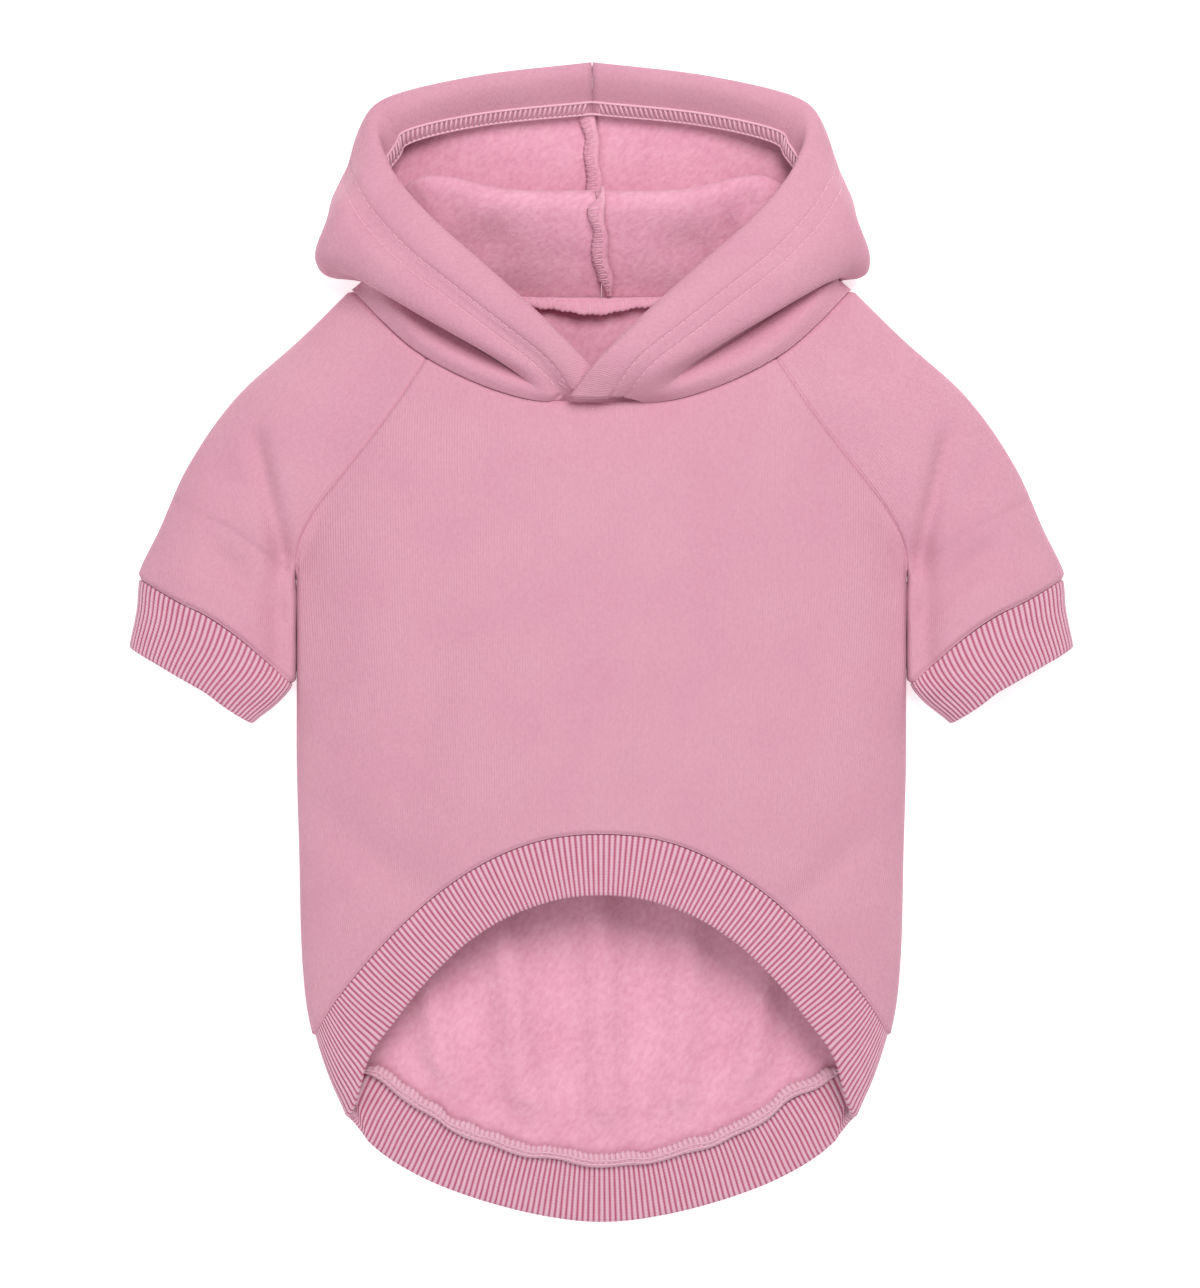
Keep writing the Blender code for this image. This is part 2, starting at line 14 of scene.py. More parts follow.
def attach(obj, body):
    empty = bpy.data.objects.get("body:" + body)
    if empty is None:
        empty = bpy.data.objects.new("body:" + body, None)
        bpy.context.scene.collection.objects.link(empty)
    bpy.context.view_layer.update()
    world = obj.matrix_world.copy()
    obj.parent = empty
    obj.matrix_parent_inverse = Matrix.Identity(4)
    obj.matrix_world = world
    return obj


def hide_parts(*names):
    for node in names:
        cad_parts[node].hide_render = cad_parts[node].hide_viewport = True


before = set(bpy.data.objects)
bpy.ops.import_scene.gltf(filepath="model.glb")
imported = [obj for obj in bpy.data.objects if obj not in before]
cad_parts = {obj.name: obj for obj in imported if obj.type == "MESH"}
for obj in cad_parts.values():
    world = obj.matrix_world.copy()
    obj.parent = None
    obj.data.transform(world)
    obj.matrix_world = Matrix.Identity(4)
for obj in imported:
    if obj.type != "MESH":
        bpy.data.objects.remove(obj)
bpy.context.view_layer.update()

metres = 0.001

# The front of the body. One panel of jersey with a brushed back, sewn to the back panel at the
# sides, to the sleeves with raglan seams and to the rib band along its arched lower edge. Empty,
# it lies puffed over the back panel, with shallow dents where it sags.
body_half_width = 105.0
body_length = 318.0
back_hem_y = -199.5
chest_height = 32.0
side_fold_height = 6.0
belly_height_share = 0.86
sleeve_reach = 160.0
armpit_share = 0.699
shoulder_share = 1.010
cloth_thickness = 2.0
panel_gap = 0.16
raglan_gap = 0.16
outline_inset = 0.12
slit_rise = 3.4
merge_roundness = 0.9
outline_step = 6.0
slope_step = 0.05
relief_fade = 6.0
ridge_end_share = 1.6

# Size and height of the waves of the front, and how far apart the two kinds are read.
front_waves = (34.0, 0.45)
front_ripples = (15.0, 0.12)
ripple_offset = 500.0

# The swell of the front sinks toward the hem: where that starts and over how long a way, as
# shares of the body length.
sinking_start = 0.55
sinking_run = 0.35

# Where body and sleeve press against each other, their edges stand up: width of that strip, its
# lower end and how far it passes the armpit as shares of the body length, how softly it ends,
# and how far in from the outline it reaches its height and sinks again.
press_width = 9.0
press_low = 0.565
press_past_armpit = 0.01
press_end = 2.0
press_near = 0.4
press_far = 4.0

# Grooves where a seam pulls the cloth in: half width and depth.
plain_groove = (0.9, 0.9)
raglan_groove = (0.7, 0.6)

# Outline of the left side: height up the back as a share of the body length, then the reach as a
# share of the body's half width or, for the outside of the sleeve, of the sleeve's reach.
body_sides = [
    (-0.010, 0.800),
    (0.060, 0.815),
    (0.113, 0.846),
    (0.155, 0.900),
    (0.198, 0.943),
    (0.232, 0.966),
    (0.285, 0.982),
    (0.404, 0.992),
    (0.500, 1.000),
    (0.575, 1.000),
    (0.640, 1.000),
    (armpit_share, 1.000),
    (0.790, 0.980),
    (0.900, 0.920),
    (shoulder_share, 0.820),
]
sleeve_outside = [
    (0.540, 1.036),
    (0.580, 1.032),
    (0.622, 1.023),
    (0.665, 1.006),
    (armpit_share, 0.999),
    (0.750, 0.952),
    (0.821, 0.888),
    (0.897, 0.780),
    (0.956, 0.650),
    (shoulder_share, 0.540),
]
sleeve_inside = [
    (0.500, 1.235),
    (0.540, 1.130),
    (0.562, 1.048),
    (0.580, 1.005),
    (0.600, 0.9985),
    (0.640, 0.9980),
    (0.685, 0.9970),
    (armpit_share, 1.000),
    (0.735, 0.905),
    (0.795, 0.750),
    (0.870, 0.560),
    (0.965, 0.400),
    (shoulder_share, 0.340),
]

# Seams of the left half in plan, each row a share of the half width and of the body length.
raglan_front = [
    (0.570, 0.935),
    (0.662, 0.889),
    (0.774, 0.840),
    (0.863, 0.803),
    (0.945, 0.763),
    (0.990, 0.730),
    (1.000, armpit_share),
]
chest_neck = [
    (0.570, 0.935),
    (0.488, 0.920),
    (0.403, 0.907),
    (0.320, 0.897),
    (0.235, 0.890),
    (0.120, 0.887),
    (0.000, 0.886),
]
belly_arch = [
    (0.943, 0.205),
    (0.866, 0.243),
    (0.741, 0.293),
    (0.550, 0.354),
    (0.363, 0.395),
    (0.186, 0.417),
    (0.000, 0.423),
]

# Dents and swells: place as shares of half width and body length, size of the spot across and
# along as shares of the half width, height, which is below zero for a dent.
front_dents = [
    (-0.55, 0.52, 0.30, 0.45, -1.4),
    (0.30, 0.50, 0.22, 0.40, -1.2),
    (-0.15, 0.60, 0.25, 0.30, 1.0),
    (0.55, 0.68, 0.30, 0.35, -0.8),
    (-0.72, 0.30, 0.16, 0.30, -1.0),
    (0.74, 0.34, 0.16, 0.30, -1.0),
    (-1.22, 0.76, 0.12, 0.30, -1.6),
    (1.22, 0.76, 0.12, 0.30, -1.6),
    (0.00, 0.905, 0.34, 0.16, -3.0),
    (0.66, 0.58, 0.26, 0.40, -2.6),
    (-0.70, 0.62, 0.20, 0.36, 1.2),
]

# Creases: both ends as shares of half width and body length, half width of the crease, height.
front_creases = [
    (-1.125, 0.840, -1.035, 0.715, 3.4, -5.0),
    (-1.055, 0.715, -1.055, 0.610, 4.0, -4.0),
    (-1.235, 0.715, -1.060, 0.662, 4.5, -2.4),
    (-1.330, 0.860, -1.180, 0.800, 6.0, -1.6),
    (1.125, 0.840, 1.035, 0.715, 3.4, -5.0),
    (1.055, 0.715, 1.055, 0.610, 4.0, -4.0),
    (1.245, 0.720, 1.060, 0.662, 4.5, -2.4),
    (1.330, 0.850, 1.180, 0.790, 6.0, -1.6),
    (-0.880, 0.430, -0.600, 0.365, 9.5, -3.6),
    (0.800, 0.400, 0.640, 0.350, 6.0, -2.0),
    (-0.520, 0.620, -0.640, 0.460, 9.0, -1.6),
    (0.180, 0.560, 0.120, 0.470, 8.0, -1.2),
]

swell = (chest_height - side_fold_height) / math.sqrt((2.0 - math.sqrt(2.0)) * body_half_width)


def slopes(where, value):
    """Slope at each row of a table, from the rows on both sides."""
    steps = np.diff(where)
    rates = np.diff(value, axis=0) / (steps[:, None] if value.ndim > 1 else steps)
    inner = 0.5 * (rates[1:] + rates[:-1])
    return np.concatenate([rates[:1], inner, rates[-1:]])


def ease(where, value, at):
    """Smooth curve through the rows (where, value), read at the places in at."""
    where = np.asarray(where, float)
    value = np.asarray(value, float)
    at = np.asarray(at, float)
    tilt = slopes(where, value)
    row = np.clip(np.searchsorted(where, at) - 1, 0, len(where) - 2)
    span = where[row + 1] - where[row]
    t = (at - where[row]) / span
    clipped = np.clip(t, 0.0, 1.0)
    beyond = (t - clipped) * span
    if value.ndim > 1:
        clipped, span, beyond = clipped[..., None], span[..., None], beyond[..., None]
    square, cube = clipped ** 2, clipped ** 3
    start = (2 * cube - 3 * square + 1) * value[row] + (cube - 2 * square + clipped) * span * tilt[row]
    end = (3 * square - 2 * cube) * value[row + 1] + (cube - square) * span * tilt[row + 1]
    edge_tilt = np.where(beyond > 0, tilt[row + 1], tilt[row])
    return start + end + beyond * edge_tilt


def distances_along(points):
    """Length along a line at each of its points."""
    return np.concatenate([[0.0], np.cumsum(np.linalg.norm(np.diff(points, axis=0), axis=1))])


def along(points, shares):
    """Points of a smooth curve through plan points, at shares of its length."""
    points = np.asarray(points, float)
    length = distances_along(points)
    return ease(length / length[-1], points, shares)


def body_y(share):
    """Height up the back, from the back hem edge, as a place on Y."""
    return back_hem_y + share * body_length


def table_reader(table, length):
    """Function of y from a table of two shares."""
    places = [body_y(row[0]) for row in table]
    values = [row[1] * length for row in table]
    return lambda y: ease(places, values, y)


body_side = table_reader(body_sides, body_half_width)
outer_edge = table_reader(sleeve_outside, sleeve_reach)
inner_edge = table_reader(sleeve_inside, body_half_width)


def both(a, b):
    """Positive where both a and b are, zero on their common outline."""
    return a + b - np.sqrt(a * a + b * b)


def either(a, b):
    """Positive where a or b is, with a rounded meeting."""
    k = merge_roundness
    return (a + b + np.sqrt(np.maximum(a * a + b * b - 2.0 * k * a * b, 0.0))) / (1.0 + k)


def slope_of(reader, at, step):
    """Slope of a function, from its values a step to both sides."""
    return (reader(at + step) - reader(at - step)) / (2 * step)


def depth_inside(x, y):
    """How deep a plan point lies inside the outline of body and sleeves."""
    half = body_side(y)
    body = both(half + x, half - x)
    out = outer_edge(y)
    inn = inner_edge(y)
    from_outside = (out - np.abs(x)) / np.sqrt(1.0 + slope_of(outer_edge, y, outline_step) ** 2)
    from_inside = (np.abs(x) - inn) / np.sqrt(1.0 + slope_of(inner_edge, y, outline_step) ** 2)
    return either(body, both(from_outside, from_inside))


def depth_and_slope(x, y):
    """Depth inside the outline with its slope across and along."""
    depth = np.maximum(depth_inside(x, y) - outline_inset, 0.0)
    across = slope_of(lambda place: depth_inside(place, y), x, slope_step)
    up = slope_of(lambda place: depth_inside(x, place), y, slope_step)
    return depth, across, up


def belly_share(y):
    """The swell of the front grows less toward the hem."""
    t = np.clip((body_y(sinking_start) - y) / (body_length * sinking_run), 0.0, 1.0)
    return 1.0 - (1.0 - belly_height_share) * (3 * t * t - 2 * t ** 3)


def ridges(table, x, y):
    """Sum of soft ridges or creases along straight courses in plan."""
    total = np.zeros_like(x)
    for start_x, start_y, end_x, end_y, half_width, height in table:
        start = np.array([start_x * body_half_width, body_y(start_y)])
        course = np.array([end_x * body_half_width, body_y(end_y)]) - start
        length = np.linalg.norm(course)
        course /= length
        ahead = (x - start[0]) * course[0] + (y - start[1]) * course[1]
        aside = (x - start[0]) * course[1] - (y - start[1]) * course[0]
        beyond = np.maximum(np.maximum(-ahead, ahead - length), 0.0) / (ridge_end_share * half_width)
        total = total + height * np.exp(-(aside / half_width) ** 2 - beyond ** 2)
    return total


def relief(x, y):
    """Dents, creases and a faint waviness of the front."""
    total = np.zeros_like(x)
    for place_x, place_y, size_x, size_y, height in front_dents:
        dx = (x - place_x * body_half_width) / (size_x * body_half_width)
        dy = (y - body_y(place_y)) / (size_y * body_half_width)
        total = total + height * np.exp(-dx * dx - dy * dy)
    total = total + ridges(front_creases, x, y)
    return total + waviness(x, y, *front_waves) + waviness(x + ripple_offset, y, *front_ripples)


def waviness(x, y, scale, height):
    """Smooth random swell of cloth at plan points."""
    flat = np.stack([x.ravel(), y.ravel()], axis=-1) / scale
    values = [noise.noise(Vector((a, b, 0.0))) for a, b in flat]
    return height * np.array(values).reshape(x.shape)


def unit(vectors):
    """Vectors made one long."""
    return vectors / np.maximum(np.linalg.norm(vectors, axis=-1, keepdims=True), 1e-9)


def pressed(x, y, depth):
    """Where body and sleeve lie against each other, their edges stand up steeply."""
    beside = np.exp(-((np.abs(x) - body_half_width) / press_width) ** 2)
    low, high = body_y(press_low), body_y(armpit_share + press_past_armpit)
    inside = 1.0 / (1.0 + np.exp(-(y - low) / press_end)) / (1.0 + np.exp((y - high) / press_end))
    edge = (1.0 - np.exp(-depth / press_near)) * np.exp(-depth / press_far)
    return slit_rise * beside * inside * edge


def upper_face(plan, gap=0.0):
    """Points and outward normals of the upper cloth face; its edge is half a gap high."""
    x, y = plan[..., 0], plan[..., 1]
    depth, across, up = depth_and_slope(x, y)
    rise = swell * belly_share(y)
    root = np.sqrt(depth)
    fade = depth / (depth + relief_fade)
    z = side_fold_height + 0.5 * gap + rise * root + relief(x, y) * fade + pressed(x, y, depth)
    normal = unit(np.stack([-0.5 * rise * across, -0.5 * rise * up, root], axis=-1))
    return np.stack([x, y, z], axis=-1), normal


def plan_rows(table):
    """Plan points of a seam table, on the left side."""
    return [(-row[0] * body_half_width, body_y(row[1])) for row in table]


def seam(table):
    """Curve of a seam table as a function of the share of its length."""
    rows = plan_rows(table)
    return lambda share: along(rows, share)


def mirrored(points):
    """Points or normals of the right side from the left side."""
    return points * np.array([-1.0, 1.0, 1.0][:points.shape[-1]])


def mirror_line(line):
    """The same curve on the right side."""
    return lambda share: mirrored(line(share))


def across_both(table):
    """Curve from the left end of a table to its mirrored right end."""
    left_rows = plan_rows(table)
    right_rows = [(-x, y) for x, y in reversed(left_rows[:-1])]
    rows = left_rows + right_rows
    return lambda share: along(rows, share)


def edge_line(reader, start, end, inset):
    """Outline from one place on Y to another, as a function of the share between them."""
    def line(share):
        """Plan points of the outline."""
        y = start + (end - start) * share
        return np.stack([inset - reader(y), y], axis=-1)
    return line


def shifted(line, across, up):
    """The same curve moved in plan."""
    return lambda share: line(share) + np.array([across, up])


def joined(first, second, split):
    """Two curves end to end; the first takes the shares below the split."""
    def line(share):
        """Plan points of the joined curve."""
        low = first(np.clip(share / split, 0.0, 1.0))
        high = second(np.clip((share - split) / (1.0 - split), 0.0, 1.0))
        return np.where((share < split)[:, None], low, high)
    return line


def reverse(line):
    """The same curve walked the other way."""
    return lambda share: line(1.0 - share)


def groove(distance, half_width, depth):
    """How far cloth is pulled in beside a seam."""
    return depth * np.exp(-(distance / half_width) ** 2)


def placed(name, data):
    """New object in the scene."""
    item = bpy.data.objects.new(name, data)
    bpy.context.scene.collection.objects.link(item)
    return item


def cloth(name, outer, inner, finishes, weave, ring=False, notes=None):
    """Closed piece of cloth between two grids of points; a ring joins its last column to the first.

    finishes are the outer and the inner material, weave holds the place of each point on the
    cloth, across and along it, and notes adds one number for each point of the outer grid.
    """
    rows, columns = outer.shape[:2]
    spans = columns if ring else columns - 1
    count = rows * columns
    work = bmesh.new()
    bmesh.ops.create_grid(work, x_segments=spans, y_segments=rows - 1, size=1.0)
    place = work.verts.layers.int.new("place")
    work.verts.ensure_lookup_table()
    for index, vert in enumerate(work.verts):
        vert[place] = (index // (spans + 1)) * columns + (index % (spans + 1)) % columns
    if ring:
        seams = {work.verts[r * (spans + 1) + spans]: work.verts[r * (spans + 1)] for r in range(rows)}
        bmesh.ops.weld_verts(work, targetmap=seams)
    made = bmesh.ops.extrude_face_region(work, geom=work.faces[:] + work.edges[:], use_keep_orig=True)
    for item in made["geom"]:
        if isinstance(item, bmesh.types.BMVert):
            item[place] += count
    points = np.concatenate([outer.reshape(-1, 3), inner.reshape(-1, 3)]) * metres
    for vert in work.verts:
        vert.co = points[vert[place]]
    bmesh.ops.recalc_face_normals(work, faces=work.faces)
    mesh = bpy.data.meshes.new(name)
    work.to_mesh(mesh)
    work.free()
    where = np.empty(len(mesh.vertices), int)
    mesh.attributes["place"].data.foreach_get("value", where)
    corner = np.empty(len(mesh.loops), int)
    mesh.loops.foreach_get("vertex_index", corner)
    corner = where[corner]
    spread = np.concatenate([weave.reshape(-1, 2)] * 2) * metres
    mesh.uv_layers.new(name="weave").data.foreach_set("uv", spread[corner].ravel())
    for title, numbers in (notes or {}).items():
        store = mesh.attributes.new(title, "FLOAT", "POINT")
        store.data.foreach_set("value", np.concatenate([numbers.ravel()] * 2)[where])
    behind = (corner >= count).reshape(-1, 4).any(axis=1).astype(int)
    mesh.attributes.remove(mesh.attributes["place"])
    for finish in finishes:
        mesh.materials.append(finish)
    mesh.polygons.foreach_set("material_index", behind)
    mesh.polygons.foreach_set("use_smooth", np.ones(len(mesh.polygons), bool))
    return placed(name, mesh)


def edge_distances(points):
    """Distance over the cloth from each point of a grid to its four edges."""
    down = np.cumsum(np.linalg.norm(np.diff(points, axis=0, prepend=points[:1]), axis=-1), axis=0)
    over = np.cumsum(np.linalg.norm(np.diff(points, axis=1, prepend=points[:, :1]), axis=-1), axis=1)
    return down, down[-1:] - down, over, over[:, -1:] - over


def cloth_area(points):
    """Area of one face of a grid in square metres."""
    a = points[1:, :-1] - points[:-1, :-1]
    b = points[:-1, 1:] - points[:-1, :-1]
    return float(np.linalg.norm(np.cross(a, b), axis=-1).sum()) * metres ** 2


def shader_nodes(name):
    """New material with its node tree and its shader."""
    material = bpy.data.materials.new(name)
    material.use_nodes = True
    return material, material.node_tree, material.node_tree.nodes["Principled BSDF"]


def feed(tree, node, sources):
    """Inputs of a node by name, each a link from another socket or a fixed value."""
    for title, source in sources.items():
        if hasattr(source, "links"):
            tree.links.new(source, node.inputs[title])
        else:
            node.inputs[title].default_value = source


def add_node(tree, kind, sources=None, **settings):
    """New node with its settings and its inputs."""
    node = tree.nodes.new(kind)
    for title, value in settings.items():
        setattr(node, title, value)
    feed(tree, node, sources or {})
    return node


def noise_over(tree, place, scale, detail, **more):
    """Soft noise between 0 and 1."""
    sources = {"Vector": place, "Scale": scale, "Detail": detail, **more}
    return add_node(tree, "ShaderNodeTexNoise", sources).outputs["Fac"]


def waves_over(tree, place, scale, distortion, direction):
    """Parallel waves between 0 and 1."""
    sources = {"Vector": place, "Scale": scale, "Distortion": distortion, "Detail": 1.0}
    return add_node(tree, "ShaderNodeTexWave", sources, bands_direction=direction).outputs["Fac"]


def worked_out(tree, operation, *values):
    """Sum or product of values."""
    return add_node(tree, "ShaderNodeMath", dict(enumerate(values)), operation=operation).outputs[0]


def stretched(tree, value, low, high):
    """Value spread so that low becomes 0 and high becomes 1."""
    sources = {"Value": value, "From Min": low, "From Max": high}
    return add_node(tree, "ShaderNodeMapRange", sources).outputs["Result"]


def tint_and_bump(tree, share, colour, shade, height, depth, strength):
    """Colour that runs from the shade to the colour, and bumps of a depth in metres."""
    tint = add_node(tree, "ShaderNodeMix", {"Factor": share, "A": (*shade, 1.0), "B": (*colour, 1.0)},
                    data_type="RGBA")
    bump = add_node(tree, "ShaderNodeBump", {"Height": height, "Distance": depth, "Strength": strength})
    return {"Base Color": tint.outputs["Result"], "Normal": bump.outputs["Normal"]}


def jersey_finish(name, colour, shade, wale_depth):
    """Smooth outside of the jersey: faint wales, marled colour and a soft sheen."""
    material, tree, shader = shader_nodes(name)
    weave = add_node(tree, "ShaderNodeUVMap", uv_map="weave").outputs["UV"]
    spot = add_node(tree, "ShaderNodeTexCoord").outputs["Object"]
    marl = noise_over(tree, spot, 900.0, 3.0)
    patchy = noise_over(tree, spot, 38.0, 2.0)
    share = stretched(tree, worked_out(tree, "ADD", marl, patchy), 0.7, 1.3)
    wales = waves_over(tree, weave, 330.0, 0.6, "X")
    grain = worked_out(tree, "ADD", worked_out(tree, "MULTIPLY", wales, patchy), marl)
    looks = tint_and_bump(tree, share, colour, shade, grain, wale_depth, 0.8)
    feed(tree, shader, {**looks, "Roughness": 0.88, "Specular IOR Level": 0.18, "Sheen Weight": 0.22,
                        "Sheen Roughness": 0.45, "Sheen Tint": (1.0, 0.86, 0.92, 1.0)})
    return material


def brushed_finish(name, colour, shade):
    """Brushed inside of the cloth: matted nap in small tufts."""
    material, tree, shader = shader_nodes(name)
    spot = add_node(tree, "ShaderNodeTexCoord").outputs["Object"]
    combed = add_node(tree, "ShaderNodeMapping", {"Vector": spot, "Rotation": (0.0, 0.0, -0.7),
                                                  "Scale": (1.0, 1.7, 1.0)},
                      vector_type="TEXTURE").outputs["Vector"]
    tufts = noise_over(tree, combed, 620.0, 4.0, Roughness=0.6, Distortion=0.1)
    patchy = noise_over(tree, spot, 55.0, 2.0)
    blend = worked_out(tree, "MULTIPLY_ADD", patchy, 0.5, tufts)
    share = stretched(tree, blend, 0.45, 1.05)
    looks = tint_and_bump(tree, share, colour, shade, blend, 0.0007, 0.5)
    feed(tree, shader, {**looks, "Roughness": 0.95, "Specular IOR Level": 0.1, "Sheen Weight": 0.35,
                        "Sheen Roughness": 0.6, "Sheen Tint": (1.0, 0.86, 0.92, 1.0)})
    return material


jersey = jersey_finish("pink_jersey", (0.635, 0.32, 0.41), (0.575, 0.27, 0.36), 0.00022)
brushed = brushed_finish("pink_brushed_back", (0.78, 0.40, 0.515), (0.64, 0.265, 0.38))

front_columns = 150
front_rows = 120
row_crowding = 0.85
hem_side_y = body_y(belly_arch[0][1])
armpit_y = body_y(armpit_share)
side_share = 0.68


def crowded(count):
    """Shares from 0 to 1 that crowd toward both ends."""
    t = np.linspace(0.0, 1.0, count)
    return t - row_crowding * np.sin(2.0 * math.pi * t) / (2.0 * math.pi)


def panel_weave(plan, left):
    """Place of each point on a body panel, across from its middle column and up the body."""
    middle = left[:, left.shape[1] // 2][:, None]
    return np.stack([left - middle, plan[..., 1]], axis=-1)


def panel_plan(bottom, top, raglan, columns, rows, split):
    """Plan grid of the front or the back between hem, sides, raglan seams and neck."""
    side = edge_line(body_side, hem_side_y, armpit_y, outline_inset)
    slope = shifted(reverse(seam(raglan)), 0.5 * raglan_gap, 0.0)
    left = joined(side, slope, split)
    return patch(across_both(bottom), across_both(top), left, mirror_line(left), columns, rows)


def patch(near, far, left, right, columns, rows):
    """Plan grid between four curves; it is finest along its edges, where the seams are."""
    u = 0.5 - 0.5 * np.cos(math.pi * np.linspace(0.0, 1.0, columns))
    v = crowded(rows)
    lower, upper = near(u), far(u)
    west, east = left(v), right(v)
    a = u[None, :, None]
    b = v[:, None, None]
    grid = (1 - b) * lower[None] + b * upper[None] + (1 - a) * west[:, None] + a * east[:, None]
    corners = (1 - a) * (1 - b) * lower[0] + a * (1 - b) * lower[-1]
    corners = corners + (1 - a) * b * upper[0] + a * b * upper[-1]
    return grid - corners


plan = panel_plan(belly_arch, chest_neck, raglan_front, front_columns, front_rows, side_share)
points, normal = upper_face(plan, panel_gap)
near, far, left, right = edge_distances(points)
sewn = groove(near, *plain_groove) + groove(far, *plain_groove)
sewn += groove(np.minimum(left, right), *raglan_groove) * (plan[..., 1] > armpit_y)
outer = points - normal * sewn[..., None]
front_cloth = cloth("front_cloth", outer, outer - normal * cloth_thickness, [jersey, brushed],
                    panel_weave(plan, left))
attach(front_cloth, "root")
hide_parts("front_panel")

# The back of the body. It is longer than the front and lies on the floor, so its brushed inside
# shows below the belly arch, where it rises in soft folds that run up from the hem.
nape_raglan = [
    (0.630, 0.997),
    (0.770, 0.925),
    (0.880, 0.840),
    (0.965, 0.765),
    (1.000, armpit_share),
]
nape = [
    (0.630, 0.997),
    (0.300, 0.999),
    (0.000, 1.000),
]
back_hem_seam = [
    (0.943, 0.205),
    (0.771, 0.165),
    (0.612, 0.132),
    (0.448, 0.100),
    (0.286, 0.081),
    (0.140, 0.069),
    (0.000, 0.066),
]

# Folds: both ends as shares of half width and body length, half width of the fold, height.
back_folds = [
    (-0.600, 0.330, -0.500, 0.120, 6.0, 4.6),
    (-0.360, 0.400, -0.240, 0.110, 7.0, 5.4),
    (-0.020, 0.400, 0.020, 0.100, 6.5, 5.0),
    (0.300, 0.380, 0.240, 0.110, 7.0, 4.4),
    (0.560, 0.320, 0.470, 0.130, 6.0, 4.0),
]
back_columns = 110
back_rows = 120
back_side_share = 0.62

# The folds and waves fade out toward the seams over a margin.
fold_margin = 18.0
back_waves = (20.0, 0.8)
back_wave_offset = 300.0


def lower_face(plan, gap=0.0):
    """Points and outward normals of the face on the floor; its edge is half a gap low."""
    x, y = plan[..., 0], plan[..., 1]
    depth, across, up = depth_and_slope(x, y)
    size = np.sqrt(across ** 2 + up ** 2) + 1e-9
    turn = 1.0 - np.minimum(depth, side_fold_height) / side_fold_height
    flat = np.sqrt(np.maximum(1.0 - turn ** 2, 0.0))
    z = (side_fold_height - 0.5 * gap) * (1.0 - flat)
    normal = unit(np.stack([-turn * across / size, -turn * up / size, -flat], axis=-1))
    return np.stack([x, y, z], axis=-1), normal


plan = panel_plan(back_hem_seam, nape, nape_raglan, back_columns, back_rows, back_side_share)
points, normal = lower_face(plan, panel_gap)
near, far, left, right = edge_distances(points)
inside = np.clip(np.minimum(np.minimum(left, right), near) / fold_margin, 0.0, 1.0)
points[..., 2] += ridges(back_folds, plan[..., 0], plan[..., 1]) * inside ** 2
waves = waviness(plan[..., 0], plan[..., 1] + back_wave_offset, *back_waves)
points[..., 2] += np.maximum(waves, 0.0) * inside
back_cloth = cloth("back_cloth", points, points - normal * cloth_thickness, [jersey, brushed],
                   panel_weave(plan, left))
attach(back_cloth, "root")
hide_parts("back_panel")

# The sleeves. Each is one piece of jersey folded round the leg, from the raglan seam in front
# round the outer fold to the raglan seam behind, and gathered a little into its cuff.
neck_front = [
    (0.820, 1.010),
    (0.795, 1.002),
    (0.714, 0.974),
    (0.623, 0.947),
    (0.570, 0.935),
]
neck_back = [
    (0.820, 1.010),
    (0.730, 1.000),
    (0.630, 0.997),
]
cuff_seam = [
    (1.523, 0.698),
    (1.398, 0.674),
    (1.296, 0.658),
    (1.194, 0.636),
    (1.106, 0.612),
    (1.006, 0.583),
]
sleeve_columns = 74
sleeve_rows = 84
seam_split = 0.72
cuff_groove = (1.1, 1.3)
shoulder_y = body_y(shoulder_share)
cuff_side_y = body_y(cuff_seam[0][1])
cuff_inner_y = body_y(cuff_seam[-1][1])


def sleeve_half(raglan, neck, face):
    """Upper or lower half of the left sleeve, from its inner edge to its outer edge."""
    slit = edge_line(inner_edge, armpit_y, cuff_inner_y, -outline_inset)
    inside = joined(shifted(seam(raglan), -0.5 * raglan_gap, 0.0), slit, seam_split)
    outside = edge_line(outer_edge, shoulder_y, cuff_side_y, outline_inset)
    plan = patch(reverse(seam(neck)), reverse(seam(cuff_seam)), inside, outside,
                 sleeve_columns, sleeve_rows)
    points, normal = face(plan, panel_gap)
    closed = face(plan)[0]
    inner_side = np.linspace(1.0, 0.0, sleeve_columns)[:, None]
    return points * inner_side + closed * (1.0 - inner_side), normal


def mirror_plan(face):
    """The same face of the body read on the right side, for a sleeve that is mirrored later."""
    def read(plan, gap=0.0):
        """Points and normals of the face, mirrored."""
        points, normal = face(mirrored(plan), gap)
        return mirrored(points), mirrored(normal)
    return read


for side in ("left", "right"):
    faces = (upper_face, lower_face)
    if side == "right":
        faces = [mirror_plan(face) for face in faces]
    top = sleeve_half(raglan_front, neck_front, faces[0])
    below = sleeve_half(nape_raglan, neck_back, faces[1])
    points, normal = [np.concatenate([a, b[:, -2::-1]], axis=1) for a, b in zip(top, below)]
    near, far, left, right = edge_distances(points)
    sewn = groove(near, *plain_groove) + groove(far, *cuff_groove)
    sewn += groove(np.minimum(left, right), *raglan_groove) * (points[..., 1] > armpit_y)
    outer = points - normal * sewn[..., None]
    outer[..., 2] = np.maximum(outer[..., 2], 0.0)
    inner = outer - normal * cloth_thickness
    weave = np.stack([left, near], axis=-1)
    if side == "right":
        outer, inner = mirrored(outer), mirrored(inner)
    sleeve = cloth(side + "_sleeve_cloth", outer, inner, [jersey, brushed], weave)
    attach(sleeve, "root")
    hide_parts(side + "_sleeve")

